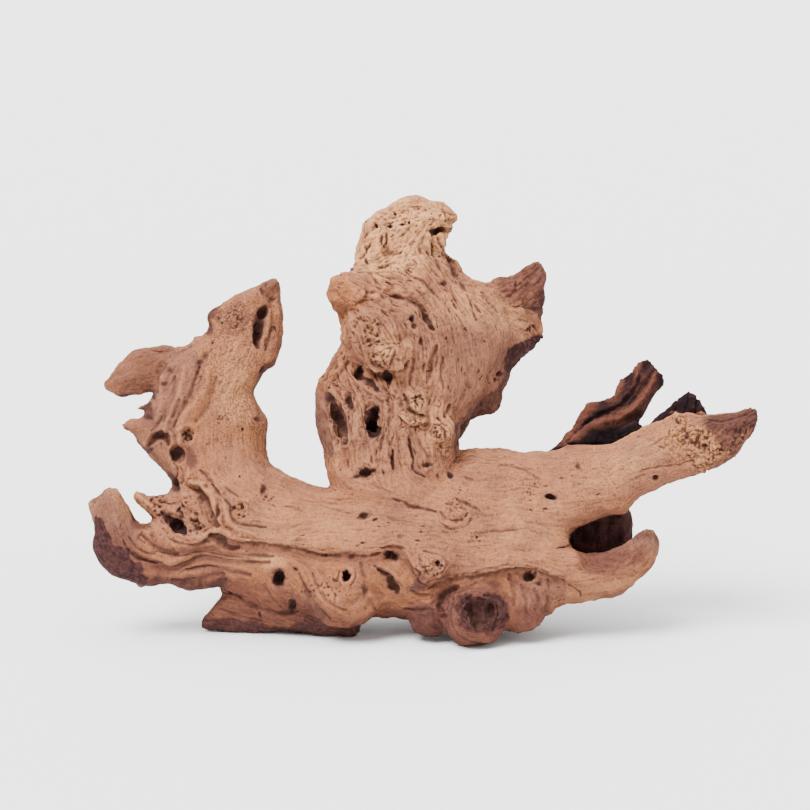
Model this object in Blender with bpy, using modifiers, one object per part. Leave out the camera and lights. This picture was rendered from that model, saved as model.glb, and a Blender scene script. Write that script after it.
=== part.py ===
"""A mopani root: one dense, twisted root of desert wood, sandblasted pale, with a dark weathered fork behind.

The root is drawn on a board that leans back by LEAN, the way it is looked at from slightly above.
On the board, u runs to the right, v runs up and w runs away from the viewer, all in millimetres.
Every limb is a loft through sections. A section is the two points where it meets the root's outline,
and how far it bulges in front of and behind the line between them. The limbs are fused, worn smooth,
bored by holes, and then parted at the main forks, with a saw's width of SAW_GAP between neighbours.
"""

import math

import bmesh
import bpy
import numpy as np
from mathutils import Matrix, Vector
from mathutils.bvhtree import BVHTree

MM = 0.001
LEAN = math.radians(12)
FLOOR_V = 5.0  # where the floor meets the board, in mm above its lower edge
CENTRE_Y = 22.0  # how far the middle of the footprint lies behind the board's foot, in mm

SECTION_SIDES = 28
SECTION_STEP = 3.0
FEWEST_SECTIONS = 8
FULLNESS = 2.3  # 2 is an ellipse, and more is squarer
THINNEST = 0.5  # the least that a section bulges
BALL_SIDES = 24
BALL_RINGS = 14

FUSE_VOXEL = 1.6
WEAR_ROUNDS = 4
BORED_WEAR_ROUNDS = 2
TRIANGLES = 8200
SAW_GAP = 0.3
REAR_SPLIT = 7.0  # the depth at which the rear fork parts from the arm and the hook in front of it
SWELL = 0.6  # what the wear takes off the outline, put back
IN_FRONT = -200.0  # a depth that lies clear in front of the wood
GROUND = 1.0  # half the side, in metres, of the block of ground that levels the feet

# Each section: (u, v, w) on one edge, (u, v, w) on the other, bulge in front, bulge behind.
LIMBS = {
    "trunk": [
        ((-152, 40, 0), (-154, 84, 4), 13, 13),
        ((-138, 36, 0), (-140, 90, 6), 18, 18),
        ((-120, 34, 0), (-120, 98, 8), 23, 22),
        ((-98, 24, 2), (-96, 104, 10), 28, 26),
        ((-75, 16, 2), (-74, 96.8, 12), 31, 30),
        ((-52, 14, 0), (-52, 91.8, 12), 33, 34),
        ((-28, 18, 0), (-28, 98, 12), 34, 38),
        ((-5, 15, 0), (0, 104, 12), 34, 38),
        ((20, 12, 0), (24, 114.3, 12), 33, 36),
        ((42, 12, -2), (40, 118, 10), 31, 32),
        ((62, 16, -4), (60, 114, 8), 27, 27),
        ((78, 22, -6), (76, 112.6, 6), 22, 22),
        ((88, 27, -8), (86, 98, 4), 14, 14),
    ],
    "right_arm": [
        ((60, 60, -4), (48, 115.5, 6), 26, 22),
        ((80, 64, -6), (68, 113.5, 4), 22, 18),
        ((96, 71.5, -7), (84, 116.5, 2), 19, 15),
        ((108, 77.5, -8), (97, 119, 0), 17, 13),
        ((119, 79.5, -9), (110, 118.5, -2), 16, 12),
        ((128, 88.5, -10), (122, 122, -3), 15, 11),
        ((140, 94.5, -11), (133, 128, -4), 14, 10),
        ((152, 99.5, -13), (144, 133, -6), 14, 11),
        ((165, 102.5, -14), (154, 137, -7), 14, 12),
        ((177, 108, -15), (166, 137, -8), 12, 11),
        ((186.5, 114, -16), (177, 137, -10), 10, 9),
        ((193, 122, -17), (187, 139, -12), 8, 7),
        ((197, 131, -17), (194, 142, -14), 5, 5),
        ((200, 138.5, -17), (198.5, 142, -16), 2.5, 2.5),
    ],
    "right_hook": [
        ((66, 17, -6), (66, 60, -4), 22, 20),
        ((80, 24.5, -8), (82, 58, -6), 18, 16),
        ((92, 25.5, -9), (95, 55, -8), 15, 14),
        ((104, 28.3, -10), (104, 54.5, -6), 13, 14),
        ((115, 30.8, -12), (111, 57, -7), 12, 15),
        ((124, 36.8, -13), (116, 59.5, -8), 11, 14),
        ((132.3, 43.8, -14), (120.5, 60, -9), 10, 12),
        ((137.8, 51.5, -14), (124, 62.5, -10), 9, 10),
        ((139, 59, -14), (127, 66, -11), 7, 8),
        ((138, 65, -14), (130, 68.6, -12), 5, 5),
        ((135.3, 69.2, -13), (133, 69.8, -13), 2.5, 2.5),
    ],
    "rear_web": [
        ((88, 104, 8), (118, 100, 10), 7, 8),
        ((90, 92, 14), (121.5, 90, 14), 7, 8),
        ((91, 82, 18), (124.5, 80, 17), 6, 8),
        ((95, 72, 22), (126.5, 72, 18), 5, 7),
        ((88, 62, 22), (126, 64, 17), 5, 7),
        ((86, 52, 19), (122, 55, 13), 6, 8),
        ((84, 42, 12), (114, 44, 7), 7, 8),
    ],
    "rear_arm": [
        ((66, 80, 14), (66, 108, 14), 10, 14),
        ((80, 88, 16), (79.5, 119, 18), 9, 13),
        ((95.5, 96, 18), (94, 124, 24), 8, 12),
        ((111, 102, 20), (109.2, 127.5, 28), 8, 11),
        ((125, 108, 20), (123.5, 130, 30), 8, 10),
        ((137, 112, 18), (135.5, 130, 28), 7, 9),
        ((147, 116, 14), (145, 139.6, 26), 6, 8),
        ((155.8, 120, 10), (154.8, 147.5, 22), 5, 7),
        ((163.5, 126, 6), (161.6, 151.2, 18), 4, 6),
        ((170.3, 130, 2), (167, 142.5, 12), 3, 4),
        ((174, 134, 0), (172, 138, 6), 2, 2),
    ],
    "rear_prong": [
        ((68, 108, 16), (90, 98, 16), 8, 9),
        ((76.5, 117, 20), (100.8, 106, 20), 8, 9),
        ((85.4, 123.8, 24), (111, 114, 24), 8, 8),
        ((93, 131, 28), (121.4, 122, 28), 8, 8),
        ((97.2, 139.6, 32), (128.8, 131, 32), 8, 8),
        ((104.4, 144.5, 35), (132, 138, 34), 8, 8),
        ((113.6, 145, 38), (134.8, 144, 38), 8, 8),
        ((118.8, 151.6, 41), (138.6, 148.5, 41), 8, 7),
        ((122.4, 158, 44), (143.8, 154, 44), 7, 7),
        ((129.6, 163.8, 46), (148.2, 158.2, 46), 5, 6),
        ((133.8, 169.8, 47), (140.6, 166.4, 47), 3, 4),
        ((136.4, 171, 47), (138.6, 170.3, 47), 1.5, 2),
    ],
    "left_branch": [
        ((-148, 60, 4), (-70, 62, 8), 26, 24),
        ((-150, 80, 4), (-70, 84, 8), 25, 23),
        ((-151.5, 96, 4), (-78, 98, 8), 22, 22),
        ((-157, 106, 4), (-90, 105, 8), 20, 20),
        ((-166, 115, 4), (-95.5, 113, 8), 19, 20),
        ((-172, 123.5, 4), (-95.5, 123, 8), 18, 19),
        ((-167, 133, 4), (-94, 133, 8), 18, 18),
        ((-164.5, 142, 4), (-98.5, 141, 8), 17, 18),
        ((-163, 150, 5), (-103, 150, 9), 16, 17),
        ((-161, 160, 6), (-99.5, 158, 9), 16, 16),
        ((-156, 169, 8), (-95, 164.5, 10), 15, 15),
        ((-147, 177, 9), (-90, 170, 10), 15, 14),
        ((-137.6, 182, 10), (-86, 178, 11), 14, 13),
        ((-128.8, 188.4, 10), (-84.5, 187, 12), 13, 12),
        ((-128, 197, 11), (-84.5, 197, 12), 12, 11),
        ((-120, 204.5, 12), (-86, 206, 13), 10, 10),
        ((-108, 211.5, 13), (-88, 212, 14), 8, 8),
        ((-98, 216, 14), (-87.5, 215.5, 14), 5, 5),
        ((-93, 219.3, 14), (-89, 219, 14), 2, 2),
    ],
    "paddle": [
        ((-140, 150, 15), (-136, 180.5, 15), 9, 9),
        ((-152, 150.5, 15), (-150, 177.5, 15), 8, 8),
        ((-162, 151.3, 15), (-161, 179, 15), 7.5, 7.5),
        ((-172, 149.8, 15), (-170, 177.3, 15), 7, 7),
        ((-181.5, 147.9, 15), (-178.3, 173, 16), 6, 6.5),
        ((-188, 150.5, 16), (-185.3, 166.5, 17), 5, 5.5),
        ((-191.8, 153, 17), (-189.5, 160.5, 18), 3.5, 4),
        ((-193.8, 155.3, 18), (-193.3, 157, 18), 2, 2),
    ],
    "lower_spike": [
        ((-155, 122, 2), (-155, 138, 4), 7, 7),
        ((-166, 125.5, 2), (-165, 136.3, 4), 6, 6),
        ((-173, 127, 1), (-172, 135.3, 2), 4.5, 4.5),
        ((-179, 128.5, 0), (-178.5, 135.2, 0), 3.5, 3.5),
        ((-182.6, 130.5, -1), (-182.4, 133, -1), 1.6, 1.6),
    ],
    "splinter": [
        ((-156, 140, 8), (-156, 147, 8), 3, 3),
        ((-165, 141, 8), (-165, 145.4, 8), 2.2, 2.2),
        ((-170, 140, 8), (-170, 144, 8), 2, 2),
        ((-174.6, 139.4, 8), (-174.6, 142.2, 8), 1.6, 1.6),
    ],
    "left_hook": [
        ((-118, 36, 0), (-118, 80, 2), 20, 18),
        ((-132, 34, 0), (-135, 78, 2), 17, 16),
        ((-146, 34.8, -2), (-150, 76, 0), 15, 15),
        ((-158, 38, -3), (-160, 73.5, -2), 14, 14),
        ((-169, 35.5, -5), (-166, 71.3, -4), 13, 13),
        ((-180.3, 39.8, -8), (-171.5, 71.8, -7), 12, 13),
        ((-190.3, 45.2, -10), (-173.5, 74, -9), 12, 13),
        ((-197, 54, -12), (-174, 77, -11), 11, 12),
        ((-197.3, 63, -13), (-177, 80.5, -12), 10, 11),
        ((-196.8, 71, -14), (-180, 85, -13), 9, 10),
        ((-198.8, 79, -15), (-181, 90, -14), 8, 8),
        ((-198.5, 86, -16), (-182.5, 93, -15), 6, 6),
        ((-193.5, 89.5, -16), (-187, 93.6, -16), 3.5, 4),
        ((-190, 91.5, -16), (-188.5, 92.5, -16), 1.5, 1.5),
    ],
    "hook_spike": [
        ((-148, 66, -2), (-144, 92, 0), 10, 10),
        ((-157, 72.5, -3), (-153, 90.5, -1), 8, 8),
        ((-163, 78, -5), (-159, 89.3, -3), 6, 6),
        ((-169, 80.8, -6), (-165, 89.8, -5), 4.5, 4.5),
        ((-172.3, 85.8, -7), (-169.5, 91.8, -7), 3, 3),
        ((-174.8, 91.4, -8), (-173, 93.2, -8), 1.6, 1.6),
    ],
    "left_foot": [
        ((-134.2, 10, 11), (-134, 11, 11), 1.5, 1.5),
        ((-130, 9.2, 11), (-130.5, 16.5, 10), 4, 4),
        ((-124, 8.5, 11), (-125, 24, 8), 7, 7),
        ((-116, 7.3, 11), (-118, 38, 6), 10, 11),
        ((-105, 7.0, 11), (-106, 50, 5), 13, 14),
        ((-92, 8.0, 11), (-93, 55, 4), 16, 16),
        ((-78, 7.2, 10), (-78, 55, 2), 18, 18),
        ((-64, 6.2, 6), (-62, 50, 0), 18, 18),
        ((-52, 5.5, 0), (-50, 45, 0), 15, 16),
        ((-43, 4.0, -5), (-42, 32, -2), 8, 10),
        ((-39.8, 5, -6), (-39.5, 12, -6), 2, 3),
    ],
    "burl": [
        ((-50, 70, 6), (26, 74, 6), 30, 28),
        ((-53.5, 90, 4), (22, 94, 6), 28, 28),
        ((-57, 102, 4), (19.5, 107, 4), 27, 27),
        ((-60.3, 113, 4), (19.8, 117, 4), 27, 27),
        ((-62, 124, 4), (21.5, 126, 4), 27, 26),
        ((-64.5, 136, 5), (21.5, 134, 4), 27, 25),
        ((-64.3, 149, 6), (34, 146, 4), 26, 24),
        ((-61.5, 160, 6), (40, 158, 4), 26, 23),
        ((-55.5, 170, 5), (44, 168, 5), 26, 22),
        ((-49.5, 181, 0), (48, 178, 6), 26, 22),
        ((-50, 193, -6), (50, 190, 8), 24, 21),
        ((-53, 203, -8), (46, 204, 10), 21, 20),
        ((-57, 212, -8), (38, 214, 12), 18, 18),
        ((-46.6, 220, -6), (24, 219, 13), 16, 16),
        ((-42, 227, 0), (14, 227, 14), 15, 14),
        ((-40.3, 238, 4), (11, 237, 14), 13, 13),
        ((-36.5, 248, 6), (14.3, 247, 14), 12, 12),
        ((-28.5, 258.2, 8), (14, 254, 14), 10, 11),
        ((-18, 265, 10), (6, 262, 14), 7, 8),
        ((-9, 269, 12), (-3, 268.6, 12), 2, 3),
    ],
    "wing": [
        ((20, 134.5, 8), (0, 215, 8), 20, 18),
        ((35.5, 138.4, 15), (14, 219, 10), 17, 16),
        ((46.5, 152, 17), (26, 219, 12), 15, 14),
        ((53, 166, 18), (36, 216.3, 13), 13, 13),
        ((65, 175.8, 19), (44, 216.8, 14), 11, 12),
        ((72.5, 185.5, 20), (50, 220, 15), 9, 10),
        ((71.5, 197, 19), (55, 222.3, 16), 7.5, 8),
        ((72.5, 207, 18), (60, 226, 17), 6, 6),
        ((73.5, 216, 18), (65, 229.3, 18), 4, 4),
        ((71.5, 225, 18), (68.5, 231, 18), 2.5, 2.5),
    ],
    "top_hook": [
        ((-14, 246, 10), (-16, 265, 10), 10, 10),
        ((-4, 248, 9), (-6, 268.5, 10), 10, 10),
        ((4, 250, 8), (2, 265.3, 10), 9, 9),
        ((10, 251.3, 8), (9.5, 264.8, 9), 8, 8),
        ((16, 252.8, 8), (15, 261.3, 9), 5.5, 6),
        ((20, 255.5, 8), (19.8, 258.6, 8), 2.5, 3),
    ],
    "ear": [
        ((6, 236, 14), (9, 242, 14), 3, 3),
        ((11, 233.5, 15), (13.5, 237.5, 15), 2.5, 2.5),
        ((14.6, 229.8, 15), (17.6, 232.4, 15), 2.5, 2.5),
        ((17, 225, 15), (21.5, 227.5, 15), 3, 3),
        ((19, 216, 14), (24.5, 221, 14), 5, 5),
        ((22, 208, 12), (31, 216, 12), 7, 7),
    ],
    "left_leg": [
        ((-114, 62, 8), (-52, 64, 12), 18, 16),
        ((-111, 46, 26), (-60, 48, 32), 17, 15),
        ((-109, 35, 40), (-72, 36, 46), 14, 12),
        ((-107, 26, 52), (-82, 26, 57), 11, 10),
        ((-104, 19, 60), (-88, 18.5, 63), 6, 6),
    ],
    "right_leg": [
        ((8, 64, 12), (60, 66, 10), 18, 16),
        ((15, 48, 32), (61, 48, 30), 16, 15),
        ((27, 37, 48), (62, 35, 46), 13, 12),
        ((37, 28, 60), (62, 26, 58), 10, 9),
        ((44, 20.5, 68), (60, 19.5, 67), 6, 6),
    ],
}

# Round swellings: centre (u, v, w) and half-sizes along u, v and w.
LUMPS = {
    "knot_boss": ((29, 20.3, -22), (20, 20.8, 20)),
    "red_lobe": ((3, 19.5, -12), (13, 15, 14)),
    "heel": ((57, 24, -14), (17, 16, 15)),
    "heel_end": ((70, 28, -10), (11, 11, 12)),
    "belly": ((-47, 31, -14), (22, 20, 18)),
    "face_lobe": ((-45, 210.6, -14), (12.8, 12, 13)),
    "brow": ((-28.5, 188, -14), (19.2, 21, 20)),
    "nose": ((-23, 174, -17), (16, 11, 14)),
    "upper_curl": ((-6, 145, -16), (9, 8, 8)),
    "lower_curl": ((8, 127, -14), (9.5, 9, 9)),
    "eye_knot": ((8, 49, -28), (9.5, 7.5, 9)),
    "wing_heel": ((38.5, 147, 12), (9, 9.6, 9)),
    "back_swell": ((-10, 72, 30), (42, 26, 20)),
    "back_burl": ((-8, 150, 20), (38, 44, 18)),
}

# Bores and hollows seen on the front: centre (u, v), half-width, half-height, depth, turn in degrees.
HOLLOWS = [
    ((-86, 41), 4.6, 6.2, 9, 0),
    ((-79, 24), 2.4, 4, 7, -10),
    ((-46.5, 42), 3.6, 4.6, 8, 15),
    ((-20, 53), 5, 3.4, 7, -15),
    ((-18, 37), 3, 6, 6, 30),
    ((-149, 71), 6.5, 3.6, 7, -40),
    ((-147.5, 113), 4.2, 4.8, 8, 0),
    ((-157, 125.5), 7, 3, 5, 20),
    ((-97, 199), 3.2, 2.8, 5, 0),
    ((-99, 188), 2.4, 7, 7, 0),
    ((-51, 134), 3.8, 13, 16, 14),
    ((-31, 133.5), 4.6, 9.5, 20, -4),
    ((-45, 146), 3.2, 6.5, 5, 12),
    ((-38.5, 165), 4.2, 4.6, 9, 20),
    ((-21, 161), 3, 5.5, 7, 0),
    ((-34, 104), 6.5, 4.6, 7, 12),
    ((-35.5, 78.5), 3.6, 2, 5, 15),
    ((2, 108), 3.2, 2.6, 4, 0),
    ((-8, 192), 2.2, 3.6, 6, 10),
    ((75.5, 88.5), 4.2, 2, 6, -5),
    ((8, 49), 2.6, 2.6, 4, 0),
    ((62, 40), 3.6, 3.6, 5, 0),
    ((35, 21.5), 13, 10, 9, 5),
    ((7, 247), 5, 3.2, 9, 15),
    ((17, 226), 2.4, 6, 7, 32),
    ((-110, 79), 4.5, 5, 3, 0),
    ((-139.5, 126), 3, 4.5, 3, 0),
    ((-133, 167.5), 2.6, 2.2, 3, 0),
    ((-6, 146), 3.2, 3, 3.5, 0),
    ((109, 51), 15, 6.5, 4.5, 12),
]

# The pale front of the trunk ends in a rim above the darker underside. Its line runs from left to right.
RIM = [
    (-136, 58),
    (-126, 66),
    (-114, 61),
    (-100, 60.5),
    (-84, 59.5),
    (-68, 57),
    (-54, 55.5),
    (-40, 54.5),
    (-28, 57),
    (-14, 58),
    (-6, 46),
    (2, 37),
    (14, 38.5),
    (28, 41.5),
    (46, 44.5),
    (60, 46),
    (70, 43),
    (80, 38),
    (94, 35.5),
    (106, 38),
    (114, 42),
]
RIM_STEP = 2.2  # how far the rim stands out over what is below it
RIM_WIDTH = 2.2
RIM_REACH = 9.0  # how far from its line the rim is felt
FRONT_TURN = 0.25  # the share that the skin faces the viewer by, from which the front is carved in full

# Furrows worn into the front: half-width, depth, and the line of each on the board.
FURROWS = [
    (2.2, 2.4, [(-139, 94), (-133, 88), (-129, 79), (-122, 72), (-116, 69)]),
    (2.0, 2.2, [(-134, 60), (-127, 65), (-120, 60), (-112, 57)]),
    (2.2, 1.4, [(-178, 64), (-171, 55), (-160, 51), (-148, 48), (-138, 51), (-126, 52), (-108, 46)]),
    (2.0, 1.1, [(-182, 52), (-168, 46), (-150, 43), (-138, 45), (-120, 42)]),
    (2.4, 1.6, [(-123, 31), (-110, 28), (-98, 22), (-84, 19.5), (-70, 20)]),
    (2.8, 1.6, [(-66, 50), (-70, 38), (-64, 26), (-52, 17), (-40, 13)]),
    (2.0, 2.0, [(-24, 209), (-14, 205), (-5, 201), (1, 194), (5, 188)]),
    (1.8, 1.4, [(5, 178), (4, 170), (2, 160)]),
    (1.8, 1.2, [(3, 242), (6, 228), (12, 214), (20, 200)]),
    (1.8, 1.4, [(20, 220), (27, 205), (33, 193), (38, 187)]),
    (1.8, 1.2, [(33, 214), (42, 203), (52, 196)]),
    (1.8, 1.0, [(10, 207), (18, 193), (24, 182)]),
    (2.4, 1.6, [(-50, 184), (-46, 172), (-38, 158), (-27, 152)]),
    (1.6, 2.0, [(-19, 119), (-19, 103)]),
    (1.8, 2.2, [(-10, 132), (-8, 120), (-7, 110), (0, 101), (12, 97)]),
    (1.8, 1.8, [(-16, 147), (-15, 139), (-9, 134), (-1, 133)]),
    (1.6, 1.2, [(1, 120), (8, 118), (15, 120), (18, 128)]),
    (1.8, 1.2, [(18, 87), (26, 83), (34, 79)]),
    (1.8, 1.0, [(-46, 91), (-20, 85), (0, 80), (10, 73)]),
    (2.0, 1.3, [(-142, 145), (-148, 133), (-151, 121)]),
    (2.2, 2.0, [(-164, 149), (-161, 161), (-155, 168), (-146, 174), (-137, 181)]),
    (1.8, 1.2, [(80, 58), (86, 60), (91, 65)]),
    (2.0, 1.6, [(16, 3), (9, 12), (9, 24), (17, 34), (30, 39)]),
    (2.2, 1.6, [(48, 6), (51, 18), (50, 28), (44, 36)]),
    (2.0, 1.8, [(92, 127), (104, 136), (116, 140), (124, 150), (132, 164)]),
    (1.8, 1.2, [(128, 106), (140, 108), (152, 108), (168, 112)]),
]

# Uneven swelling: the height, the length and the turn of each set of waves, at the back half as high.
SWELLING = [(0.9, 31, 0.4), (0.55, 14, 1.9)]
WAVE_WAYS = [(0.9, 0.35, 0), (-0.25, 0.95, 0.3), (0.3, -0.2, 0.9)]  # across each of three crossed waves
WAVE_BENDS = [(0, 0.6, -0.3), (0.5, 0, 0.5), (0, 0, 0)]  # and along the slower waves that bend them
WAVE_BEND = 1.2
WAVE_TURNS = [1.0, 2.1, 0.7]

# The burl's flutes, which run steeply down to the right and wander.
FLUTE_HEIGHT = 0.7
FLUTE_WIDTH = 8.5
FLUTE_ACROSS = (0.86, 0.5)
FLUTE_WANDER = (2.2, 46, 0.2)
BURL_FOOT = 110
BURL_SIDES = (-66, 76)
BURL_FADE = 12

# Where the branches are parted: an area of the board around each, counterclockwise, and its depths.
# Its edge across the wood is the saw cut at the fork, and its other edges run clear of the wood.
FORKS = {
    "left_branch": ([(-178, 96.9), (-70, 103.6), (-78, 240), (-230, 240), (-230, 112)], (-90, 90)),
    "left_hook": ([(-141, 10), (-141, 99.2), (-230, 93.7), (-230, 10)], (-90, 90)),
    "centre_burl": (
        [(-66, 97), (24, 111), (40, 128), (82, 180), (82, 300), (-77, 300), (-77, 130)],
        (-90, 90),
    ),
    "right_hook": ([(84, -5), (160, -5), (160, 78), (84, 61.5)], (-90, REAR_SPLIT)),
    "right_arm": ([(98, 68), (150, 79), (240, 110), (240, 170), (98, 170)], (-90, REAR_SPLIT)),
    "rear_fork": ([(74, 10), (240, 10), (240, 210), (74, 210)], (REAR_SPLIT, 130)),
}

PALE = (0.55, 0.31, 0.18)
DARK = (0.11, 0.05, 0.04)


def board(points):
    """The world place, in metres, of points (u, v, w) on the leaning board."""
    u, v, w = np.asarray(points, float).reshape(-1, 3).T
    rise = v - FLOOR_V
    y = rise * math.sin(LEAN) + w * math.cos(LEAN) - CENTRE_Y
    z = rise * math.cos(LEAN) - w * math.sin(LEAN)
    return np.stack([u, y, z], axis=1) * MM


def off_board(places):
    """The (u, v, w) of world places, the inverse of board()."""
    x, y, z = (np.asarray(places, float).reshape(-1, 3) / MM).T
    y = y + CENTRE_Y
    v = y * math.sin(LEAN) + z * math.cos(LEAN) + FLOOR_V
    w = y * math.cos(LEAN) - z * math.sin(LEAN)
    return np.stack([x, v, w], axis=1)


def smooth_rows(rows):
    """Sections closer together than SECTION_STEP, on a smooth curve through the given ones."""
    keys = np.array([[*a, *b, front, back] for a, b, front, back in rows], float)
    middle = (keys[:, 0:3] + keys[:, 3:6]) / 2
    reach = np.concatenate([[0], np.cumsum(np.linalg.norm(np.diff(middle, axis=0), axis=1))])
    padded = np.vstack([2 * keys[0] - keys[1], keys, 2 * keys[-1] - keys[-2]])
    count = max(FEWEST_SECTIONS, int(reach[-1] / SECTION_STEP))
    at = np.interp(np.linspace(0, reach[-1], count), reach, np.arange(len(keys)))
    i = np.minimum(at.astype(int), len(keys) - 2)
    t = (at - i)[:, None]
    p0, p1, p2, p3 = padded[i], padded[i + 1], padded[i + 2], padded[i + 3]
    curve = 0.5 * (
        2 * p1 + (p2 - p0) * t + (2 * p0 - 5 * p1 + 4 * p2 - p3) * t**2 + (3 * p1 - p0 - 3 * p2 + p3) * t**3
    )
    curve[:, 6:] = np.maximum(curve[:, 6:], THINNEST)
    return curve


def loft(name, rows):
    """One limb as a closed mesh: a ring of SECTION_SIDES points at each section, and a pole at each end."""
    curve = smooth_rows(rows)
    a, b = curve[:, 0:3], curve[:, 3:6]
    middle, half = (a + b) / 2, (b - a) / 2
    outward = np.cross(np.gradient(middle, axis=0), half)
    outward /= np.linalg.norm(outward, axis=1)[:, None]
    outward *= -np.sign(outward[:, 2:3])  # towards the viewer
    angle = np.linspace(0, 2 * math.pi, SECTION_SIDES, endpoint=False)
    along = np.sign(np.cos(angle)) * np.abs(np.cos(angle)) ** (2 / FULLNESS)
    across = np.sign(np.sin(angle)) * np.abs(np.sin(angle)) ** (2 / FULLNESS)
    bulge = np.where(across > 0, curve[:, 6:7], curve[:, 7:8]) * across
    rings = (
        middle[:, None] + half[:, None] * along[None, :, None] + outward[:, None] * bulge[:, :, None]
    ).reshape(-1, 3)
    n, m = len(curve), SECTION_SIDES
    first = (np.arange(n - 1) * m)[:, None] + np.arange(m)[None]
    beside = (np.arange(n - 1) * m)[:, None] + (np.arange(m) + 1)[None] % m
    quads = np.stack([first, beside, beside + m, first + m], axis=-1).reshape(-1, 4).tolist()
    near, far = n * m, n * m + 1
    caps = [(near, (k + 1) % m, k) for k in range(m)]
    caps += [(far, (n - 1) * m + k, (n - 1) * m + (k + 1) % m) for k in range(m)]
    mesh = bpy.data.meshes.new(name)
    mesh.from_pydata(board(np.vstack([rings, middle[:1], middle[-1:]])).tolist(), [], quads + caps)
    return mesh


def ball(name, centre, sizes, turn=0.0):
    """A round swelling or cutter: a sphere stretched along u, v and w, and turned on the board."""
    mesh = bpy.data.meshes.new(name)
    bm = bmesh.new()
    bmesh.ops.create_uvsphere(bm, u_segments=BALL_SIDES, v_segments=BALL_RINGS, radius=1)
    bmesh.ops.scale(bm, vec=sizes, verts=bm.verts)
    bmesh.ops.rotate(bm, cent=(0, 0, 0), matrix=Matrix.Rotation(math.radians(turn), 3, "Z"), verts=bm.verts)
    bmesh.ops.translate(bm, vec=centre, verts=bm.verts)
    places = board([v.co for v in bm.verts])
    for vertex, place in zip(bm.verts, places):
        vertex.co = place
    bmesh.ops.recalc_face_normals(bm, faces=bm.faces)
    bm.to_mesh(mesh)
    bm.free()
    return mesh


def joined(name, meshes, collection):
    """One object that holds all the given closed meshes, facing out."""
    bm = bmesh.new()
    for mesh in meshes:
        bm.from_mesh(mesh)
    bmesh.ops.recalc_face_normals(bm, faces=bm.faces)
    whole = bpy.data.meshes.new(name)
    bm.to_mesh(whole)
    bm.free()
    obj = bpy.data.objects.new(name, whole)
    collection.objects.link(obj)
    return obj


def evaluated(obj, name):
    """A new mesh: the object with its modifiers applied."""
    graph = bpy.context.evaluated_depsgraph_get()
    mesh = bpy.data.meshes.new_from_object(obj.evaluated_get(graph))
    mesh.name = name
    return mesh


def fuse(obj, voxel, rounds):
    """Makes overlapping closed shapes one skin, worn smooth."""
    remesh = obj.modifiers.new("Fuse", "REMESH")
    remesh.mode = "VOXEL"
    remesh.voxel_size = voxel * MM
    wear = obj.modifiers.new("Wear", "SMOOTH")
    wear.factor = 0.5
    wear.iterations = rounds
    obj.data = evaluated(obj, obj.name)
    obj.modifiers.clear()


def bore(obj, helpers):
    """Cuts every hollow into the front, each centred on the skin where it is seen."""
    tree = BVHTree.FromObject(obj, bpy.context.evaluated_depsgraph_get())
    away = Vector((0, math.cos(LEAN), -math.sin(LEAN)))
    cutters = []
    for (u, v), wide, high, deep, turn in HOLLOWS:
        start = Vector(board([(u, v, IN_FRONT)])[0])
        place = tree.ray_cast(start, away)[0]
        w = off_board([place])[0][2]
        cutters.append(ball("hollow", (u, v, w), (wide, high, deep), turn))
    drill = joined("drill", cutters, helpers)
    cut = obj.modifiers.new("Bore", "BOOLEAN")
    cut.operation = "DIFFERENCE"
    cut.solver = "EXACT"
    cut.use_self = True
    cut.object = drill
    obj.data = evaluated(obj, obj.name)
    obj.modifiers.clear()


def from_line(uv, line):
    """How far each point lies from a line of stretches on the board: to its left is positive."""
    corners = np.array(line, float)
    nearest = np.full(len(uv), 1e9)
    side = np.ones(len(uv))
    for a, b in zip(corners[:-1], corners[1:]):
        stretch = b - a
        t = np.clip(((uv - a) @ stretch) / (stretch @ stretch), 0, 1)
        gap = uv - (a + t[:, None] * stretch)
        far = np.linalg.norm(gap, axis=1)
        closer = far < nearest
        nearest = np.where(closer, far, nearest)
        side = np.where(closer, np.sign(stretch[0] * gap[:, 1] - stretch[1] * gap[:, 0]), side)
    return nearest * side


def waves(p, size, turn):
    """Soft uneven swelling between about -1 and 1: three crossed sine waves about size mm long, each bent by
    a slower one, multiplied in pairs."""
    k = 2 * math.pi / size
    bend = WAVE_BEND * np.sin(k * p @ np.transpose(WAVE_BENDS))
    a, b, c = np.sin(k * p @ np.transpose(WAVE_WAYS) + turn * np.array(WAVE_TURNS) + bend).T
    return (a * b + 0.6 * b * c + 0.5 * a * c) / 1.6


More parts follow.
